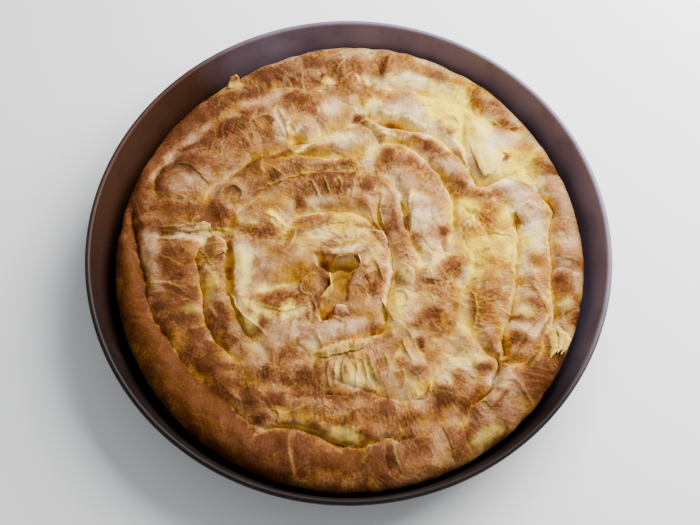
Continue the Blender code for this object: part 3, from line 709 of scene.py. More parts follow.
        -0.4: ((-95, -108, 14, 9, -45), (-150, -28, 7, 12), (130, 5, 10, 14)),
        -0.3: ((-135, -65, 9, 12, 30),),
        0.2: ((-112, 85, 20, 12, 40),),
        0.25: ((-110, 72, 40, 26, 40), (-130, -40, 12, 20, 10), (82, -90, 10)),
        0.3: ((95, 58, 8, 5), (-10, -60, 12, 8), (-40, 150, 14, 8), (-62, -8, 8, 12),
            (80, -115, 30, 20, 40), (30, 25, 10, 22, -15), (-25, 70, 14, 9), (-105, 42, 20, 16),
            (-120, 110, 14, 10, 40)),
        0.35: ((45, -55, 8, 10), (40, -132, 16, 10), (-20, -90, 16, 8), (0, -146, 75, 18),
            (-30, 140, 22, 14)),
        0.4: ((2, 157, 22, 6), (-88, 45, 10), (0, 82, 10, 12), (80, -90, 9), (25, -112, 12, 7),
            (5, -95, 22, 7, -15), (-35, -122, 16, 8, -10), (92, 88, 8, 7), (-40, 148, 30, 16, 10),
            (140, -72, 10, 14), (97, 58, 8, 7), (142, -70, 8, 12)),
        0.45: ((-112, 85, 26, 16, 40), (-45, 52, 20, 9, 25), (-60, -85, 12, 8)),
        0.5: ((-125, 55, 12, 14), (150, 25, 8, 24), (142, -66, 8, 14), (92, -118, 18, 12, 40),
            (-26, -64, 10, 8)),
        0.6: ((-42, 150, 16, 10, 10), (28, 32, 7, 12), (-4, -46, 6, 5)),
    },
    "cream": {
        0.25: ((-106, -45, 7, 4),),
        0.3: ((84, -146, 12, 5, 35), (54, -38, 10, 6)),
        0.35: ((126, 60, 12, 7, -20), (88, 0, 10, 8), (92, 89, 8, 6)),
        0.4: ((38, 134, 17, 3, -5), (120, -45, 6, 8, 20), (80, -55, 5, 12, 15), (146, -41, 8, 5, 20),
            (90, -132, 13, 6, 35), (-93, -25, 5, 7), (-72, -30, 6, 14, 12), (96, 2, 16, 12),
            (5, -96, 12, 4)),
        0.45: ((72, 113, 12, 5, -30), (8, -90, 12, 9, -20)),
        0.5: ((20, 94, 9, 6, -40), (18, 76, 6, 8), (84, 33, 7, 3, -20), (110, 9, 10, 4),
            (150, -66, 6, 10, -15), (-96, 12, 14, 3, 10), (-62, -44, 14, 4, -30), (-18, 10, 8, 5),
            (84, 32, 10, 7), (-3, -132, 14, 5, -15), (33, -52, 8, 10), (0, 24, 12, 8), (55, 0, 4, 8, -30),
            (-8, -88, 3, 9, 15), (92, 88, 9, 8)),
        0.55: ((94, 88, 8, 18, 20), (78, -81, 16, 6, 12)),
        0.6: ((62, 106, 15, 3, -25), (60, 119, 7, 10, 20), (34, -42, 8, 9, 20), (45, -100, 6, 5),
            (2, 12, 16, 5), (-66, -54, 7, 8), (-39, -48, 8, 6), (-41, -46, 5, 8)),
        0.7: ((-50, 22, 11, 5, -40), (68, 127, 14, 5, -30), (-33, 79, 9, 2, 35)),
        0.8: ((-15, 135, 5, 4), (38, 135, 16, 4, -8), (76, 112, 12, 8, -30), (33, -42, 4, 8, -15)),
        0.9: ((92, 88, 8, 12, 20), (-73, -12, 8, 20, 5), (-5, 88, 10, 4)),
        1.0: ((-84, 131, 6, 3), (103, 64, 9, 6, 15)),
    },
    "crinkle": {
        0.3: ((96, 120, 12, 18, 35), (-122, -28, 16, 26, 5), (-75, -95, 20, 10, -30)),
        0.4: ((-120, -30, 16), (-18, 48, 30, 10), (35, -142, 30, 12, 10), (96, -38, 12, 22, 10),
            (-22, 146, 34, 14), (-40, -44, 24, 10)),
        0.5: ((5, 150, 24, 12), (-80, 92, 30, 12, 35), (-95, 82, 34, 14, 38), (34, 66, 18, 14, -20),
            (62, -30, 22, 16, -15), (-60, -118, 16, 12, -20), (126, -36, 8, 26, 5), (0, -86, 22, 12),
            (-70, -20, 10, 22, 5)),
        0.6: ((141, 62, 12, 9), (-60, 142, 24, 9, 25), (-64, 12, 20, 8), (42, 62, 14, 12),
            (-36, 116, 16, 12), (88, 22, 16, 26)),
        0.9: ((40, -145, 26, 15), (-16, 48, 18, 10)),
    },
    "froth": {
        0.5: ((5, -128, 6, 3),),
        1.0: ((-11, -116, 9, 6, -35),),
    },
    "bump": {
        1.2: ((-15, 135, 7, 6),),
    },
}

# Loose edges of the sheets: (name, line where it leaves the dough, its free edge, bulge, and
# how toasted, buttery, floury and creamy it is). Points are (x, y, height over the dough).
FLAPS = (
    ("fringe", ((86, 84, 0), (98, 82, 0), (113, 74, 0)), ((92, 60, 3), (99, 56, 3), (111, 64, 3)),
     1.5, (0.05, 0.3, 0.3, 0.9)),
    ("lip", ((22, 112, 0), (38, 109, 0), (52, 102, 0), (64, 95, 0)),
     ((18, 105, 0.6), (33, 103, 1), (46, 98, 1), (60, 90, 0.5)), 0.6, (0.10, 0.0, 0.6, 0.5)),
    ("petal_back", ((8, 100, 0), (15, 93, 0), (22, 84, 0)),
     ((10, 105, 0.5), (20, 99, 1.2), (28, 90, 1.2), (27, 82, 0.5)), 2.4, (0.5, 0.3, 0.5, 0.0)),
    ("roll_edge", ((124, 16, 0), (131, 21, 0), (139, 29, 0)),
     ((115, 26, 2), (122, 33, 2.5), (131, 38, 2)), 1.0, (0.12, 0.0, 0.9, 0.1)),
    ("grey_flap", ((13, 13, 0), (20, 5, 0), (27, -3, 0)),
     ((19, 17, 2), (26, 9, 2), (30, 0, 1.5)), 1.2, (0.55, 0.0, 1.0, 0.0)),
    ("knob", ((-90, 129, 0), (-85, 128, 0), (-79, 130, 0)),
     ((-89, 136, 1), (-84, 139, 1), (-80, 137, 1)), 2.4, (0.75, 0.1, 0.0, 0.0)),
    ("cap_fold", ((-112, 9, 0), (-104, 8, 0), (-97, 7, 0)),
     ((-108, 15, 1.2), (-101, 18, 2), (-94, 17, 1.5)), 1.2, (0.12, 0.2, 0.7, 0.3)),
    ("left_petal", ((-100, 9, 0), (-101, -1, 0), (-96, -9, 0)),
     ((-95, 13, 2), (-85, 4, 3), (-86, -6, 3)), 2.0, (0.46, 0.2, 0.1, 0.1)),
    ("box_rim", ((-13, -17, 0), (-11, -8, 0), (-8, -5, 0), (0, -5, 0), (8, -6, 0), (9, -11, 0)),
     ((-12, -17, 7), (-9, -8, 9), (-7, -7, 9), (0, -6, 9), (6, -7, 8), (7, -11, 7)), 0.0,
     (0.10, 0.4, 0.2, 0.8)),
    ("pit_sheet", ((7, -17, 0), (-4, -16, 0), (-9, -18, 0), (-11, -21, 0), (-10, -27, 0),
                   (-14, -33, 0), (-19, -37, 0)),
     ((7, -15, 7), (-4, -14, 9), (-9, -16, 10), (-13, -21, 11), (-12, -27, 11), (-15, -31, 9),
      (-20, -35, 6)), 0.0, (0.06, 0.4, 0.1, 0.9)),
    ("white_curl", ((-11, -50, 0), (-5, -52, 0), (1, -50, 0)),
     ((-10, -43, 0.5), (-6, -42, 0.8), (0, -44, 0.5)), 2.0, (0.30, 0.0, 1.0, 0.0)),
    ("strip", ((-24, -76, 0), (-13, -70, 0), (0, -66, 0), (10, -65, 0), (22, -60, 0)),
     ((-30, -81, 0.5), (-14, -79, 1), (0, -76, 1.5), (9, -73, 1.5), (21, -65, 0.5)), 3.2,
     (0.26, 0.5, 0.1, 0.15)),
    ("bright_petal", ((29, -22, 0), (35, -27, 0), (44, -30, 0)),
     ((32, -11, 2.5), (40, -13, 3), (48, -22, 2)), 1.2, (0.28, 0.2, 0.3, 0.4)),
    ("crack_edge", ((113, -84, 0), (110, -98, 0), (96, -114, 0)),
     ((101, -83, 1), (98, -95, 1.6), (94, -101, 1.6), (82, -112, 1)), 1.0, (0.2, 0.0, 0.9, 0.1)),
    ("torn_left", ((132, -56, 0), (134, -68, 0), (134, -80, 0)),
     ((138, -54, 1), (140, -66, 1.5), (139, -79, 0)), 0.6, (0.05, 0.4, 0.3, 0.8)),
    ("torn_middle", ((138, -56, 0), (140, -66, 0), (139, -77, 0)),
     ((143, -56, 1), (145, -66, 0.5), (142, -76, -1)), 0.5, (0.0, 0.1, 0.5, 0.9)),
    ("torn_right", ((143, -60, 0), (144, -68, -1), (141, -78, -2)),
     ((148, -61, -2), (149, -68, -3), (144, -77, -4)), 0.4, (0.10, 0.4, 0.2, 0.8)),
)


def lay_valleys():
    """Depth of the valleys between the rolls at each place of the map."""
    depth = np.zeros_like(MAP_X)
    wander = 1.1 * cloud(9.0, 3)
    for reach, points in VALLEYS:
        side = reach + VALLEY_SPREAD
        box, gap, _, (deep,) = line_field(points, side + 4.0)
        share = np.clip(np.abs(gap + wander[box]) / side, 0.0, 1.0)
        # A deep valley is as sharp as where two round rolls meet, a shallow one is a soft dip.
        sharp = 1.0 - np.sqrt(np.clip(1.0 - (1.0 - share) ** 2.4, 0.0, 1.0))
        profile = blend((1.0 - smooth(0.0, 1.0, share)) ** 1.5, sharp, smooth(2.0, 6.0, deep))
        depth[box] = np.maximum(depth[box], VALLEY_DEEPER * deep * profile)
    return depth


def inside_loop(points):
    """Distance in from the edge of a closed loop of points, negative outside it."""
    far = 14.0
    box, gap, _, _ = line_field((*points, points[0]), far)
    wrapped = np.full_like(MAP_X, -far)
    line = smooth_line((*points, points[0]))
    x, y = MAP_X[box], MAP_Y[box]
    crossings = np.zeros(x.shape, int)
    for (ax, ay), (bx, by) in zip(line, line[1:]):
        if ay != by:
            spans = (ay > y) != (by > y)
            crossings += spans & (x < ax + (y - ay) * (bx - ax) / (by - ay))
    wrapped[box] = np.where(crossings % 2 == 1, np.abs(gap), -np.minimum(np.abs(gap), far))
    return wrapped


def hand_laid_folds():
    """The folds as a flat list of (kind, height, reach, points)."""
    return [(kind, *fold) for kind, folds in FOLDS.items() for fold in folds]


def loose_folds(turn, calm):
    """Small folds that lie at random along the dough's own direction, fewer where it is calm."""
    draw = np.random.default_rng(FOLD_SEED)
    folds = []
    while len(folds) < FOLD_COUNT:
        place = draw.uniform(-165.0, 165.0, 2)
        lean, length = draw.normal(0.0, 0.45), draw.uniform(7.0, 26.0)
        bend, height = draw.normal(0.0, 0.25), draw.uniform(0.35, 1.0)
        luck, kind = draw.uniform(size=2)
        if math.hypot(*place) > FOLD_REACH or luck < sample(calm, *place):
            continue
        heading = float(sample(turn, *place)) + lean + (math.pi if kind > 0.5 else 0.0)
        if kind > 0.85 or kind < 0.15:
            # Some lie across the others.
            heading += math.pi / 2
            length *= 1.5
        points = [tuple(place)]
        for _ in range(4):
            heading += bend
            step = length / 4
            place = place + step * np.array([math.cos(heading), math.sin(heading)])
            points.append(tuple(place))
        folds.append(("crease" if 0.42 < kind < 0.58 else "edge", height, 2.0 + 4.0 * luck, points))
    return folds


def lay_folds(folds):
    """Height that folds add, how much each place is on a pale edge, bare dough and painted
    highlight both, and how much it is scorched.
    """
    lift, bare_and_highlight, scorch = (np.zeros_like(MAP_X) for _ in range(3))
    wander = 0.6 * grains(5.0, 5) + 0.4 * grains(2.0, 6)
    for kind, height, reach, points in folds:
        box, gap, way, _ = line_field(points, 3.0 * reach + 2.0)
        gap = gap + wander[box]
        fade = smooth(0.0, 0.25, way) * smooth(1.0, 0.75, way) * (np.abs(gap) < 0.9 * BEYOND)
        edge, burn = np.zeros_like(gap), np.zeros_like(gap)
        strong = min(height, 1.2) / 1.2
        # An edge stands up at once on the left of its line and falls away slowly behind, with a
        # low dent before it.  Its lip is painted pale, partly bare dough and partly a painted highlight,
        # and the strip behind the lip is scorched.
        if kind == "edge":
            rise = np.where(gap > 0, np.exp(-gap / reach), -0.3 * np.exp(gap / 1.6))
            rise = rise * smooth(-0.3, 0.5, gap) + np.minimum(rise, 0) * 0.6
            edge = np.exp(-np.abs(gap - 0.5) / 0.55)
            burn = np.exp(-np.abs(gap - 1.8) / (0.6 * reach))
            burn = np.where(gap > 0, burn, -0.5 * np.exp(gap / 2.5))
        elif kind == "crease":
            rise = -np.exp(-np.abs(gap) / reach)
        else:
            rise = np.exp(-np.abs(gap / reach) ** 1.5)
            # A ridge's crest is painted pale the same way, bare dough and a painted highlight.
            edge = 0.7 * np.exp(-(gap / 0.8) ** 2)
        lift[box] += height * fade * rise
        bare_and_highlight[box] = np.maximum(bare_and_highlight[box], fade * edge * (0.35 + 0.65 * strong))
        scorch[box] += fade * burn * strong
    return lift, bare_and_highlight, scorch


def lay_patch(total, ragged, strength, x, y, half_length, half_width=None, turn=0.0):
    """Adds one patch to a map."""
    box = window(np.array([[x, y]]), PATCH_REACH * half_length)
    c, s = math.cos(math.radians(turn)), math.sin(math.radians(turn))
    dx, dy = MAP_X[box] - x, MAP_Y[box] - y
    out = np.hypot((dx * c + dy * s) / half_length, (dy * c - dx * s) / (half_width or half_length))
    total[box] += strength * (1.0 - smooth(0.2, 1.3, out + ragged[box]))


def lay_patches(kind):
    """Sum of the patches of a kind, with ragged edges."""
    total = np.zeros_like(MAP_X)
    ragged = 0.85 * (0.34 * grains(7.0, 41) + 0.26 * grains(3.0, 42) + 0.16 * grains(1.4, 43))
    for strength, patches in PATCHES[kind].items():
        for patch in patches:
            lay_patch(total, ragged, strength, *patch)
    return total


def browning_and_shade():
    """Toast of the pie as a whole, blended between its rings: real browning with painted shade and light.
    """
    bearing, radius = np.degrees(BEARING) % 360.0, np.hypot(MAP_X, MAP_Y)
    total = np.zeros_like(MAP_X)
    for (low, inner), (high, outer) in zip(BROWNING_AND_SHADE, BROWNING_AND_SHADE[1:]):
        share = (radius - low) / (high - low)
        ring = blend(line_radius(inner, bearing), line_radius(outer, bearing), share)
        total = np.where((share >= 0) & (share < 1), ring, total)
    return np.where(radius >= BROWNING_AND_SHADE[-1][0], line_radius(BROWNING_AND_SHADE[-1][1], bearing), total)


def lay_pits():
    """Depth of the steep-sided holes at each place of the map."""
    ragged = 0.9 * grains(4.0, 22)
    return np.max([deep * smooth(-0.5 * soft, 1.4 * soft, inside_loop(points) + ragged)
                   for deep, soft, points in PITS], axis=0)


def shape_dough():
    """Height of the dough without its fall at the wall, and what its looks follow."""
    turn = BEARING + 0.75 * cloud(46.0, 14) + 0.35
    strands = comb(grains(2.4, 15), turn, 7.0)
    fibres = comb(grains(1.1, 16), turn + 0.5 * grains(20.0, 17), 4.0)
    pleats = comb(grains(5.0, 19), BEARING + 1.1 * cloud(60.0, 18) - 0.5, 14.0)
    crest = np.exp(-(strands / 0.45) ** 2)
    pleat = np.exp(-np.abs(pleats) / 0.35)
    brown_and_shade = browning_and_shade()
    # The dough is calm where it is floury or well browned by the rings, which carry painted shade
    # too, and crinkled elsewhere.
    pale = np.clip(lay_patches("pale"), 0, 1)
    calm = 0.9 * pale + 0.5 * smooth(0.1, 0.8, cloud(30.0, 27)) + 1.2 * smooth(0.20, 0.28, brown_and_shade)
    calm = np.clip(calm, 0.0, 0.95)
    crinkled = smooth(-0.1, 0.6, cloud(26.0, 13)) * 0.8 + lay_patches("crinkle")
    crinkled = np.clip(crinkled * (1.0 - 0.6 * calm), 0.08, 1.3)
    pleated = smooth(0.15, 0.8, crinkled)
    # Sheets that overlap in low steps, each rising slowly and ending at once.
    sheets = cloud(38.0, 20) * 2.4 + 0.20 * grains(3.5, 21)
    sheet = np.floor(sheets)
    step = sheets - sheet
    terrace = smooth(0.0, SHEET_END, step) - smooth(SHEET_END, 1.0, step)
    # Broad dents and humps.
    across = comb(grains(11.0, 24), BEARING + 1.2 * cloud(50.0, 28), 9.0)
    rumple = grains(17.0, 25) + 0.25 * grains(6.0, 26)
    crumple = 0.5 - 0.22 * np.abs(across) - np.abs(rumple)
    depth, pit = lay_valleys(), lay_pits()
    lift, bare_and_highlight, scorch = lay_folds([*hand_laid_folds(), *loose_folds(turn, calm)])
    soft = np.clip(1.0 - depth / 12.0, 0.25, 1.0) * (1.0 - 0.5 * calm)
    froth = lay_patches("froth") * np.clip(np.abs(grains(1.7, 30)) - 0.15, 0, 1)
    height = CREST + HUMPS * cloud(26.0, 11) + LUMPS * grains(10.0, 12) + lay_patches("bump")
    height -= np.maximum(depth, pit)
    height += soft * (CRESTS * crinkled * crest + PLEATS * pleated * pleat + TERRACES * terrace
                      + CRUMPLES * crumple + FIBRES * crinkled * fibres)
    height += PIMPLES * grains(1.5, 23) + BUBBLES * froth + lift
    # Each sheet step gets a thin pale line too, bare dough and a painted highlight.
    bare_and_highlight = np.maximum(bare_and_highlight, 0.3 * np.exp(-np.abs(step - SHEET_END) / 0.03) * soft)
    mottle = 0.30 * cloud(5.0, 52, 3) + 0.24 * strands
    return np.clip(height, LOWEST, HIGHEST), SimpleNamespace(
        strands=strands, fibres=fibres, crest=crest, pleat=pleat, pleated=pleated,
        crinkled=crinkled, sheet=sheet, step=step, depth=depth, pit=pit, bare_and_highlight=bare_and_highlight,
        scorch=scorch, pale=pale, froth=froth, brown_and_shade=brown_and_shade, mottle=mottle, speck=grains(1.5, 53))


def toast_and_shade(dough, fine, broad, large):
    """Toast of the dough: on what stands up and on sheet edges, and painted shade in deep valleys and
    pits.
    """
    # (How much it browns the dough, what it is.)
    parts = (
        (0.10, cloud(34.0, 51)), (0.03, grains(11.0, 56)), (0.03, dough.mottle), (0.02, dough.speck),
        (-0.03, dough.strands * (0.3 + dough.crinkled)),
        # Pleated dough browns a little, and the tops of its pleats are painted paler, a painted
        # highlight.
        (0.05, dough.pleated), (-0.09, dough.pleated * dough.pleat),
        (0.05, np.sin(2.4 * dough.sheet) * smooth(0.0, 0.12, dough.step)),
        (0.16, dough.scorch),
        (0.20, np.clip(large / 3.0, -1.0, 1.0)),
        (0.06, np.clip(broad / 2.0, -1.0, 1.0)),
        (0.04, np.clip(fine / 0.4, -1.0, 1.0)),
        # Painted shade: the dough is painted darker down the valleys and in the pits.
        (0.06, smooth(0.8, 3.0, dough.depth)), (0.16, smooth(4.0, 11.0, dough.depth)),
        (0.12, smooth(3.0, 12.0, dough.pit)),
        (1.0, dough.brown_and_shade))
    grainy = (0.92 + 0.18 * dough.mottle + 0.05 * dough.speck + 0.05 * dough.fibres
              + 0.12 * dough.crest)
    return TOAST_BASE + sum(weight * part for weight, part in parts) + lay_patches("toast") * grainy


def finish_dough(height, dough):
    """Looks of the dough, each from 0 to 1: toast, butter, flour, cream and fibre."""
    fine, broad, large = (height - blur(height, width) for width in (1.6, 6.0, 15.0))
    toast = toast_and_shade(dough, fine, broad, large)
    pale = np.clip(dough.pale + 0.22 * smooth(0.2, 0.8, cloud(17.0, 54)), 0, 1)
    cream = 0.5 * smooth(0.2, 0.8, grains(13.0, 57)) * smooth(0.48, 0.30, toast)
    cream = np.clip((cream + lay_patches("cream")) * (0.9 + 0.2 * dough.mottle), 0, 1)
    toast = TOAST_MIDDLE + TOAST_SWING * (toast - TOAST_MIDDLE) + 0.25 * dough.brown_and_shade
    # Butter gathers in what lies low and keeps off the flour and the brownest spots.
    gold = cloud(13.0, 55)
    streaks = 0.10 * dough.fibres + 0.07 * dough.speck + 0.08 * dough.strands
    butter = 0.48 * smooth(-0.05, 0.45, gold) + 0.22 * smooth(0.8, 4.0, dough.depth)
    butter += 0.3 * smooth(3.0, 10.0, dough.pit) - 0.24 * np.clip(broad / 2.0, -1.5, 1.0)
    butter = np.clip(butter + lay_patches("butter") - 0.7 * pale + streaks, 0, 1)
    butter *= 1.0 - 0.5 * smooth(0.45, 0.85, toast)
    # Painted highlight: the tops of the pleats are painted paler with flour.
    pale = np.clip(pale + 0.3 * dough.pleated * dough.pleat ** 2, 0, 1)
    toast = toast * (1.0 - 0.6 * pale) * (1.0 - 0.9 * cream) * (1.0 - 0.25 * dough.bare_and_highlight)
    flour = pale + lay_patches("pink") + 0.36 * smooth(0.05, 0.5, -gold) - streaks
    flour = flour * (1.0 - 0.5 * smooth(0.55, 0.95, toast)) + dough.froth + 0.2 * dough.bare_and_highlight
    toast = toast * (1.0 - np.clip(dough.froth, 0, 1))
    return {"toast": np.clip(toast, 0, 1), "butter": butter, "flour": np.clip(flour, 0, 1),
            "cream": np.clip(cream + 0.2 * dough.bare_and_highlight, 0, 1), "fibre": 0.5 + 0.2 * dough.fibres}


# ------------------------------------------------------------------ grids and meshes


def deselect():
    """Lets go of everything before a piece is made."""
    for thing in bpy.context.selected_objects:
        thing.select_set(False)


def grid_piece(name, places, looks):
    """A grid primitive bent to an array of places (rows, columns, xyz) in millimetres.

    The grid is a tube: its last column lies on its first, and its two ends are filled.
    """
    rows, columns = places.shape[:2]
    deselect()
    bpy.ops.mesh.primitive_grid_add(x_subdivisions=columns - 1, y_subdivisions=rows - 1, size=2.0)
    piece = bpy.context.active_object
    piece.name = piece.data.name = name
    flat = np.empty(rows * columns * 3)
    piece.data.vertices.foreach_get("co", flat)
    flat = flat.reshape(-1, 3)
    column = np.rint((flat[:, 0] + 1.0) / 2.0 * (columns - 1)).astype(int)
    row = np.rint((flat[:, 1] + 1.0) / 2.0 * (rows - 1)).astype(int)
    piece.data.vertices.foreach_set("co", (places[row, column] * MM).ravel())
    for look, values in looks.items():
        layer = piece.data.attributes.new(look, "FLOAT", "POINT")
        layer.data.foreach_set("value", values[row, column].astype(np.float32))
    bpy.ops.object.mode_set(mode="EDIT")
    bpy.ops.mesh.select_all(action="SELECT")
    bpy.ops.mesh.remove_doubles(threshold=WELD * MM)
    bpy.ops.mesh.select_all(action="DESELECT")
    bpy.ops.mesh.select_non_manifold()
    bpy.ops.mesh.fill_holes(sides=0)
    bpy.ops.mesh.select_all(action="SELECT")
    bpy.ops.mesh.normals_make_consistent(inside=False)
    bpy.ops.object.mode_set(mode="OBJECT")
    bpy.ops.object.shade_smooth_by_angle(angle=math.radians(SMOOTH_ANGLE))
    piece.data.update()
    return piece


def wall_room(height):
    """Largest radius of the dough at a height, a little inside the tray's leaning wall."""
    lean = math.tan(math.radians(WALL_LEAN))
    return RIM_RADIUS / MM - 2 * BEAD - WALL_GAP - (RIM_HEIGHT / MM - BEAD - height) * lean


def roll_grid(roll):
    """The x and y of a roll's top, row by row along it, and the distance in from the wall."""
    _, start, end, inside, outside = roll
    way = np.linspace(0.0, 1.0, MEASURES)
    angle = blend(sum(start) / 2, sum(end) / 2, way)
    radius = (inner_radius(inside, angle) + line_radius(outside, angle)) / 2
    steps = np.hypot(np.diff(radius), np.radians(np.diff(angle)) * radius[1:])
    rows = max(int(steps.sum() / SPACING), 12)
    width = float(np.max(line_radius(outside, angle) - inner_radius(inside, angle)))
    at_wall = outside is WALL_EDGE
    columns = max(int((width + (SIDE_EXTRA if at_wall else 0.0)) / SPACING), 8)
    share = np.linspace(0.0, 1.0, columns)
    if at_wall:
        # Closer columns where the side turns down to the wall.
        share = 1.0 - (1.0 - share) ** SIDE_CROWDING
    lap = math.degrees(LAP / max(float(radius.mean()), 20.0))
    way, across = np.linspace(0.0, 1.0, rows)[:, None], share[None, :]
    angle = blend(blend(start[0] + lap, end[0] - lap, way), blend(start[1] + lap, end[1] - lap, way),
                  across)
    low = inner_radius(inside, angle) - LAP
    high = line_radius(outside, angle) + (0.0 if at_wall else LAP)
    if at_wall:
        bearing = np.radians(angle)
        high = high + WALL_WOBBLE * (noise(14 * np.cos(bearing), 14 * np.sin(bearing), 61) - 0.5)
    radius = blend(low, high, across)
    turn = np.radians(angle)
    from_wall = (high - radius) if at_wall else None
    return radius * np.cos(turn), radius * np.sin(turn), from_wall


def under_roll(outer, inner, tucked):
    """Points below a roll: down its outer side, along the floor and up its inner side."""
    tuck = 1.0 - (UNDER_TUCK if tucked else 0.0) / np.hypot(outer[:, 0], outer[:, 1])
    below = outer * tuck[:, None]
    side = 0.4
    under = []
    for step in range(1, UNDER_POINTS):
        share = step / UNDER_POINTS
        if share < side:
            place = blend(outer, below, (share / side) ** 1.5)
            place[:, 2] = blend(outer[:, 2], FLOOR, share / side)
        elif share > 1.0 - side:
            place = inner.copy()
            place[:, 2] = blend(inner[:, 2], FLOOR, (1.0 - share) / side)
        else:
            place = blend(below, inner, 0.5)
            place[:, 2] = FLOOR
        under.append(place)
    return np.stack(under, axis=1)


def build_roll(roll, height, looks):
    """One roll as a closed tube: its top from the map, and plain sides and underside below."""
    x, y, from_wall = roll_grid(roll)
    top_height = sample(height, x, y)
    if from_wall is not None:
        share = np.clip(from_wall / WALL_DOME, 0.0, 1.0)
        dome = np.sqrt(np.clip(1.0 - (1.0 - share) ** 2.2, 0.0, 1.0))
        top_height = blend(WIDEST_HEIGHT, top_height, dome)
    top = np.stack([x, y, top_height], axis=2)
    top[..., :2] *= np.minimum(1.0, wall_room(top_height) / np.hypot(x, y))[..., None]
    under = under_roll(top[:, -1], top[:, 0], from_wall is not None)
    places = np.concatenate([top, under, top[:, :1]], axis=1)
    count = under.shape[1] + 1
    seen = {look: sample(field, x, y) for look, field in looks.items()}
    seen = {look: np.concatenate([values, np.repeat(values[:, -1:], count, axis=1)], axis=1)
            for look, values in seen.items()}
    return places, seen


def tray_profile():
    """The tray's outline from its middle over the rim and back below, and where the rim's top is."""
    rim_radius, rim_height = RIM_RADIUS / MM, RIM_HEIGHT / MM
    turn = math.radians(WALL_LEAN)
    top = (rim_radius - 2 * BEAD, rim_height - BEAD)
    down = (top[1] + CORNER * (math.sin(turn) - 1.0) - SHEET) / math.cos(turn)
    middle = (top[0] - down * math.sin(turn) - CORNER * math.cos(turn), SHEET + CORNER)

    def arc(centre, radius, first, last, count):
        around = np.radians(np.linspace(first, last, count))
        return [(centre[0] + radius * math.cos(a), centre[1] + radius * math.sin(a)) for a in around]

    inside = [(0.0, SHEET), (FLAT_FLOOR, SHEET), *arc(middle, CORNER, -90, -WALL_LEAN, 10)]
    inside += [tuple(blend(np.array(inside[-1]), np.array(top), k / WALL_STEPS))
               for k in range(1, WALL_STEPS)]
    rim = arc((rim_radius - BEAD, top[1]), BEAD, 180, -120, 18)
    outside = arc(middle, CORNER + SHEET, -WALL_LEAN, -90, 10)
    profile = np.array([*inside, *rim, *outside, (FLAT_FLOOR, 0.0), (0.0, 0.0)])
    return profile, len(inside) + 0.45 * len(rim)


def build_tray():
    """The tray turned round its middle, with 1 on its inside and 0 on its outside as its look."""
    profile, rim_top = tray_profile()
    rim_height = RIM_HEIGHT / MM
    bearing = np.radians(np.linspace(0.0, 360.0, TRAY_STEPS + 1))[:, None]
    radius, height = profile[None, :, 0], profile[None, :, 1] + 0.0 * bearing
    # The thin wall is a little out of true between the floor and the rim.
    free = smooth(4.0, 16.0, height) * smooth(rim_height - 4.0, rim_height - 12.0, height)
    wave = noise(2.6 * np.cos(bearing), 2.6 * np.sin(bearing) + height / 40.0, 91)
    radius = radius + WALL_WAVE * wave * free
    inner = smooth(rim_top + 3.0, rim_top - 3.0, np.arange(len(profile)) + 0.0 * bearing)
    places = np.stack([radius * np.cos(bearing), radius * np.sin(bearing), height], axis=2)
    return places, {"inner": inner}


def build_tail(height, looks):
    """The inner end of the coil, tucked down in the hole in the middle."""
    rings, steps = int(TAIL_WIDTH / SPACING), int(TAIL_ROUND / SPACING)
    angle = np.linspace(0.0, 360.0, steps + 1)[None, :]
    radius = line_radius(HOLE_LINE, angle) + 1.0
    share = np.linspace(1.0, 0.02, rings)[:, None]
    x = blend(TAIL_CENTRE[0], radius * np.cos(np.radians(angle)), share)
    y = blend(TAIL_CENTRE[1], radius * np.sin(np.radians(angle)), share)
    top = np.stack([x, y, sample(height, x, y) - 0.15 * share], axis=2)
    under = top[[-1, 0]].copy()
    under[:, :, 2] = FLOOR
    seen = {look: sample(field, x, y) for look, field in looks.items()}
    seen = {look: np.concatenate([values[[-1, 0]], values]) for look, values in seen.items()}
    return np.concatenate([under, top], axis=0), seen


def along(points, share):
    """Places at shares from 0 to 1 of a smooth curve through points."""
    points = np.array([points[0], *points, points[-1]], float)
    spot = share * (len(points) - 3)
    first = np.minimum(spot.astype(int), len(points) - 4)
    return cubic(*(points[first + k] for k in range(4)), (spot - first)[:, None])


def both_sides(top, under):
    """Rows of a closed tube: along the top, back along the underside and to the start again."""
    return np.concatenate([top, under[:, ::-1], top[:, :1]], axis=1)


def build_flap(flap, height, looks):
    """A thin loose sheet as a closed tube: over its top to the free edge, and back below."""
    _, root, free, bulge, finish = flap
    length = np.hypot(*np.diff(np.array(free)[:, :2], axis=0).T).sum()
    width = max(math.dist(a[:2], b[:2]) for a, b in ((root[0], free[0]), (root[-1], free[-1])))
    rows, columns = max(int(length / FLAP_SPACING), 10), max(int(width / FLAP_SPACING), 6)
    way = np.linspace(0.0, 1.0, rows)
    out = np.linspace(0.0, 1.0, columns)[None, :]
    root, free = along(root, way), along(free, way)
    # A torn edge, drawn in towards both ends.
    ragged = 1.0 + 0.10 * noise(way * length / 3.0, 0.0 * way + bulge, 71)
    ragged += 0.07 * noise(way * length / 1.2, 0.0 * way + bulge, 72)
    ends = smooth(0.0, 0.22, way) * smooth(1.0, 0.78, way)
    free[:, :2] = blend(root[:, :2], free[:, :2], (ragged * (0.2 + 0.8 * ends))[:, None])
    plan = blend(root[:, None], free[:, None], out[..., None])
    x, y = plan[..., 0], plan[..., 1]
    way, ends = way[:, None] + 0.0 * out, ends[:, None]
    rise = free[:, 2:] * ends * out ** 1.5 + bulge * ends * np.sin(np.pi * out)
    rise -= ROOT_DEPTH * (1.0 - out)
    pleat = 0.45 * noise(way * length / 3.0, 0.8 * out + 0.0 * x, 73) * ends
    top = sample(height, x, y) + rise + pleat
    under = top - blend(ROOT_SHEET, EDGE_SHEET, out)
    places = np.stack([both_sides(x, x), both_sides(y, y), both_sides(top, under)], axis=2)
    streak = np.maximum(noise(way * length / 2.2, 1.2 * out + 0.0 * x, 76), 0.0)
    rim = smooth(1.0 - 1.6 / width, 1.0, out) + 0.0 * x
    return places, finish_flap(x, y, out, rim, streak, finish, looks)


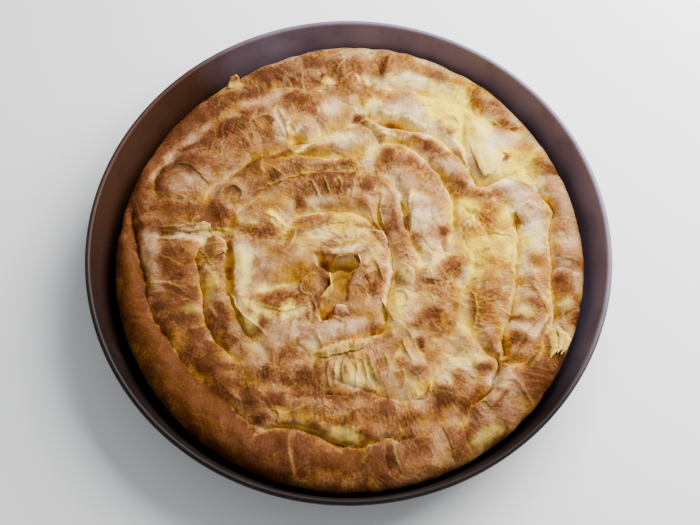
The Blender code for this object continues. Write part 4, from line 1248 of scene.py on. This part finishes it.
def finish_flap(x, y, out, rim, streak, finish, looks):
    """Looks of a loose sheet: the dough's own at its root, and its own paler-edged ones beyond."""
    mottle = 0.5 * noise(x / 4.0, y / 4.0, 74) + 0.5 * noise(x / 1.6, y / 1.6, 75)
    toast, butter, flour, cream = (base * (1.0 + 0.4 * mottle) for base in finish)
    pale = 0.5 * rim - 0.4 * streak
    own = {"toast": toast * (1.0 - 0.6 * rim) + 0.08 * mottle + 0.30 * streak, "butter": butter,
           "flour": flour + pale, "cream": cream + pale}
    share = 0.7 * smooth(0.0, 0.5, out)
    seen = {"fibre": sample(looks["fibre"], x, y)}
    for look, values in own.items():
        seen[look] = np.clip(blend(sample(looks[look], x, y), values, share), 0, 1)
    return {look: both_sides(values, values) for look, values in seen.items()}


# ------------------------------------------------------------------ shader writing


class Socket:
    """A node's output, with Python's operators for number maths."""

    def __init__(self, maker, link):
        self.maker, self.link = maker, link

    def _maths(self, operation, *values):
        return self.maker.node("ShaderNodeMath", {"operation": operation}, *values)

    def __add__(self, other):
        return self._maths("ADD", self, other)

    def __sub__(self, other):
        return self._maths("SUBTRACT", self, other)

    def __rsub__(self, other):
        return self._maths("SUBTRACT", other, self)

    def __mul__(self, other):
        return self._maths("MULTIPLY", self, other)

    __radd__ = __add__


class Maker:
    """Adds nodes to one material."""

    def __init__(self, name, **fixed):
        self.material = bpy.data.materials.new(name)
        self.material.use_nodes = True
        self.nodes = self.material.node_tree.nodes
        self.links = self.material.node_tree.links
        self.shader = self.nodes["Principled BSDF"]
        for socket, value in fixed.items():
            self.shader.inputs[socket.replace("_", " ")].default_value = value

    def node(self, kind, settings, *values, output=0, **named):
        """A node of a kind, with its settings first, then values or links for its sockets."""
        made = self.nodes.new(kind)
        for setting, value in settings.items():
            if setting == "stops":
                ramp = made.color_ramp
                while len(ramp.elements) < len(value):
                    ramp.elements.new(1.0)
                for element, (position, colour) in zip(ramp.elements, value):
                    element.position, element.color = position, colour
            else:
                setattr(made, setting, value)
        for key, value in [*enumerate(values), *named.items()]:
            place = made.inputs[key.replace("_", " ") if isinstance(key, str) else key]
            self.feed(place, value)
        return Socket(self, made.outputs[output])

    def feed(self, place, value):
        if isinstance(value, Socket):
            self.links.new(value.link, place)
        else:
            place.default_value = value

    def mix(self, factor, first, second, kind="MIX"):
        """A colour mixed from two."""
        made = self.nodes.new("ShaderNodeMix")
        made.data_type, made.blend_type = "RGBA", kind
        made.clamp_factor = True
        # The sockets of a mix of colours.
        for place, value in ((0, factor), (6, first), (7, second)):
            self.feed(made.inputs[place], value)
        return Socket(self, made.outputs[2])

    def noise(self, scale, detail=3.0, roughness=0.5):
        """Noise of 0 to 1 on object coordinates."""
        where = self.node("ShaderNodeTexCoord", {}, output="Object")
        return self.node("ShaderNodeTexNoise", {}, Vector=where, Scale=scale, Detail=detail,
                         Roughness=roughness, output="Fac")

    def attribute(self, name):
        return self.node("ShaderNodeAttribute", {"attribute_name": name}, output="Fac")

    def step(self, value, low, high):
        """0 below low and 1 above high."""
        return self.node("ShaderNodeMapRange", {"interpolation_type": "SMOOTHSTEP"},
                         value, low, high, 0.0, 1.0)

    def bump(self, height, distance, strength=1.0):
        return self.node("ShaderNodeBump", {}, Strength=strength, Distance=distance, Height=height,
                         output="Normal")

    def finish(self, **fed):
        for socket, value in fed.items():
            self.feed(self.shader.inputs[socket.replace("_", " ")], value)
        return self.material


# Filo from barely baked to nearly burnt: (toast, colour), plain and floured.
TOAST_STOPS = (
    (0.0, (0.86, 0.66, 0.33, 1)),
    (0.2, (0.58, 0.336, 0.120, 1)),
    (0.4, (0.372, 0.172, 0.049, 1)),
    (0.6, (0.244, 0.095, 0.023, 1)),
    (0.8, (0.156, 0.050, 0.0135, 1)),
    (1.0, (0.090, 0.027, 0.0085, 1)),
)
FLOUR_STOPS = (
    (0.0, (0.90, 0.74, 0.49, 1)),
    (0.2, (0.62, 0.405, 0.225, 1)),
    (0.4, (0.40, 0.210, 0.100, 1)),
    (0.6, (0.272, 0.128, 0.056, 1)),
    (0.8, (0.168, 0.064, 0.027, 1)),
    (1.0, (0.096, 0.032, 0.014, 1)),
)
BUTTER_TINT = (1.0, 0.95, 0.14, 1)
CREAM_COLOUR = (0.93, 0.68, 0.11, 1)

# The tray's coating: plain outside; inside, painted light and shade: deepest painted shade at the
# front, a brown half shade at the back, and painted light, a paler cooler grey, at the back right.
PLAIN_COATING = (0.021, 0.013, 0.012, 1)
DEEP_SHADE_COATING = (0.006, 0.0022, 0.0014, 1)
HALF_SHADE_COATING = (0.050, 0.018, 0.008, 1)
LIT_COATING = (0.215, 0.165, 0.230, 1)
# Blotches of wear, darker where shade is painted and paler where light is painted, and a fine grain that
# shows only where light is painted, as painted sheen.
SHADED_WEAR = (0.016, 0.009, 0.007, 1)
LIT_WEAR = (0.105, 0.070, 0.068, 1)
WEAR_AND_SHEEN_GRAIN = (0.12, 0.09, 0.09, 1)

FLOOR_SHADES = ((0.90, 0.90, 0.90, 1), (0.95, 0.95, 0.95, 1))


def filo_material():
    """Baked filo, coloured by the looks that its mesh carries."""
    make = Maker("baked_filo", Subsurface_Weight=0.05, Subsurface_Scale=0.003,
                 Specular_IOR_Level=0.04, Coat_Roughness=0.16)
    toast, butter, flour, cream, fibre = (
        make.attribute(look) for look in ("toast", "butter", "flour", "cream", "fibre"))
    grain = make.noise(900.0, 4.0, 0.6)
    freckle = make.noise(330.0, 3.0, 0.55)
    pimple = make.noise(620.0, 2.0, 0.5)
    crisp = make.step(pimple, 0.50, 0.66) - make.step(pimple, 0.50, 0.34)
    browned = make.step(toast, 0.25, 0.62)
    level = toast + (grain - 0.5) * 0.08 + (freckle - 0.5) * 0.08 + (fibre - 0.5) * 0.10
    # Small blisters darken and pale what is browned.
    level = level + crisp * browned * 0.11
    colour = make.node("ShaderNodeValToRGB", {"stops": TOAST_STOPS}, level, output="Color")
    floured = make.node("ShaderNodeValToRGB", {"stops": FLOUR_STOPS}, level, output="Color")
    colour = make.mix(flour * 0.9, colour, floured)
    colour = make.mix(cream * 0.9, colour, CREAM_COLOUR)
    colour = make.mix(butter, colour, make.mix(1.0, colour, BUTTER_TINT, "MULTIPLY"))
    height = grain * 0.5 + freckle + fibre * 0.8
    return make.finish(
        Base_Color=colour,
        Roughness=0.58 - butter * 0.14 + browned * 0.10,
        Coat_Weight=make.step(pimple, 0.58, 0.68) * (0.05 + butter * 0.06),
        Normal=make.bump(height, 0.0004, 0.35))


def tray_material():
    """Dark coated sheet; inside, painted shade darkens the front and painted light makes the back right
    paler and cooler.
    """
    make = Maker("coated_tray", Metallic=0.10, Specular_IOR_Level=0.22)
    where = make.node("ShaderNodeTexCoord", {}, output="Object")
    east = make.node("ShaderNodeSeparateXYZ", {}, where, output="X")
    north = make.node("ShaderNodeSeparateXYZ", {}, where, output="Y")
    blotch = make.noise(16.0, 3.0, 0.5)
    stain = make.noise(45.0, 3.0, 0.6)
    grain = make.noise(1400.0, 2.0, 0.6)
    inner = make.attribute("inner")
    # Painted light: the inside of the wall at the back right, towards the key light, is painted paler and
    # cooler.
    painted_light = make.step(east * 0.70 + north * 0.72 + (blotch - 0.5) * 0.08, 0.0, 0.15) * inner
    # Painted shade: the inside is painted darker at the front than at the back; the outside keeps the
    # plain coating.
    coating_with_shade = make.mix(make.step(north, -0.10, 0.10), DEEP_SHADE_COATING, HALF_SHADE_COATING)
    coating_with_shade = make.mix(inner, PLAIN_COATING, coating_with_shade)
    colour = make.mix(painted_light, coating_with_shade, LIT_COATING)
    # Blotches of wear, paler where light is painted; the fine grain below shows only there, as painted
    # sheen.
    worn = make.mix(painted_light, SHADED_WEAR, LIT_WEAR)
    colour = make.mix(make.step(stain, 0.45, 0.75) * 0.45, colour, worn)
    colour = make.mix(make.step(grain, 0.45, 0.75) * 0.20 * painted_light, colour, WEAR_AND_SHEEN_GRAIN)
    return make.finish(
        Base_Color=colour,
        Roughness=0.42 + stain * 0.16,
        Normal=make.bump(grain + stain * 2.0, 0.00012, 0.35))


def floor_material():
    """Plain pale floor with a hardly seen unevenness."""
    make = Maker("pale_floor", Roughness=0.85)
    return make.finish(Base_Color=make.mix(make.noise(3.0, 2.0, 0.5), *FLOOR_SHADES))


# ------------------------------------------------------------------ settings


# Metres.
FLOOR_SIZE = 6.0
KEY_PLACE = (0.46, 0.42, 0.50)
KEY_SIZE = 0.8
SKY_COLOUR = (0.92, 0.95, 1.0, 1.0)
CAMERA_SHIFT = (0.0021, -0.0316)


class BanitsaLight(bpy.types.PropertyGroup):
    """Light and camera of the stage"""

    camera_distance: bpy.props.FloatProperty(
        name="Camera distance", description="From the middle of the rim", default=0.800,
        unit="LENGTH", min=0.1)
    camera_rise: bpy.props.FloatProperty(
        name="Camera rise", description="Angle of the camera above the horizon",
        default=math.radians(66.15), subtype="ANGLE")
    camera_view: bpy.props.FloatProperty(
        name="Field of view", description="Across the picture", default=math.radians(33.3),
        subtype="ANGLE")
    key_power: bpy.props.FloatProperty(
        name="Key light", description="Power of the large soft light", default=27.0, unit="POWER",
        min=0.0)
    sky_power: bpy.props.FloatProperty(
        name="Surround", description="Strength of the pale surround", default=0.5, min=0.0)


# ------------------------------------------------------------------ operators


def put_material(piece, material):
    piece.data.materials.clear()
    piece.data.materials.append(material)


def settle(piece, node):
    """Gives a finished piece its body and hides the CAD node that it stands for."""
    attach(piece, BODY)
    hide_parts(node)


class BANITSA_OT_tray(bpy.types.Operator):
    """Turn the round tray and give it its dark coating"""

    bl_idname = "banitsa.tray"
    bl_label = "Turn the tray"

    def execute(self, context):
        piece = grid_piece("coated_tray", *build_tray())
        put_material(piece, tray_material())
        settle(piece, "tray")
        return {"FINISHED"}


class BANITSA_OT_rolls(bpy.types.Operator):
    """Lay the rolls of filo in their coil"""

    bl_idname = "banitsa.rolls"
    bl_label = "Lay the rolls"

    def execute(self, context):
        filo = filo_material()
        height, dough = shape_dough()
        looks = finish_dough(height, dough)
        made = [(roll[0], *build_roll(roll, height, looks)) for roll in ROLLS]
        made.append(("roll_tail", *build_tail(height, looks)))
        for node, places, seen in made:
            piece = grid_piece("filo_" + node, places, seen)
            put_material(piece, filo)
            settle(piece, node)
        for flap in FLAPS:
            piece = grid_piece("flap_" + flap[0], *build_flap(flap, height, looks))
            put_material(piece, filo)
            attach(piece, BODY)
        return {"FINISHED"}


class BANITSA_OT_stage(bpy.types.Operator):
    """Set the floor, the soft lights and the camera"""

    bl_idname = "banitsa.stage"
    bl_label = "Set the stage"

    def execute(self, context):
        light = context.scene.banitsa_light
        deselect()
        bpy.ops.mesh.primitive_plane_add(size=FLOOR_SIZE)
        floor = context.active_object
        floor.name = "floor"
        put_material(floor, floor_material())
        world = bpy.data.worlds.new("surround")
        world.use_nodes = True
        sky = world.node_tree.nodes["Background"]
        sky.inputs["Color"].default_value = SKY_COLOUR
        sky.inputs["Strength"].default_value = light.sky_power
        context.scene.world = world
        rim = Vector((0.0, 0.0, RIM_HEIGHT))
        bpy.ops.object.light_add(type="AREA", location=KEY_PLACE)
        lamp = context.active_object
        lamp.name = "key"
        lamp.data.size = KEY_SIZE
        lamp.data.energy = light.key_power
        lamp.rotation_euler = (Vector(KEY_PLACE) - rim).to_track_quat("Z", "Y").to_euler()
        rise = light.camera_rise
        away = Vector((0.0, -math.cos(rise), math.sin(rise)))
        bpy.ops.object.camera_add(location=rim + away * light.camera_distance)
        camera = context.active_object
        camera.rotation_euler = away.to_track_quat("Z", "Y").to_euler()
        camera.data.angle = light.camera_view
        camera.data.shift_x, camera.data.shift_y = CAMERA_SHIFT
        context.scene.camera = camera
        return {"FINISHED"}


class BANITSA_PT_panel(bpy.types.Panel):
    """Lists the steps and their settings"""

    bl_label = "Cheese Banitsa"
    bl_space_type = "VIEW_3D"
    bl_region_type = "UI"
    bl_category = "Banitsa"

    def draw(self, context):
        light = context.scene.banitsa_light
        for name in light.__annotations__:
            self.layout.prop(light, name)
        for step in STEPS:
            self.layout.operator(step.bl_idname)


STEPS = (BANITSA_OT_tray, BANITSA_OT_rolls, BANITSA_OT_stage)
CLASSES = (BanitsaLight, *STEPS, BANITSA_PT_panel)


def register():
    for made in CLASSES:
        bpy.utils.register_class(made)
    bpy.types.Scene.banitsa_light = bpy.props.PointerProperty(type=BanitsaLight)


def unregister():
    del bpy.types.Scene.banitsa_light
    for made in reversed(CLASSES):
        bpy.utils.unregister_class(made)


def main():
    register()
    bpy.ops.banitsa.tray()
    bpy.ops.banitsa.rolls()
    bpy.ops.banitsa.stage()


if __name__ == "__main__":
    main()
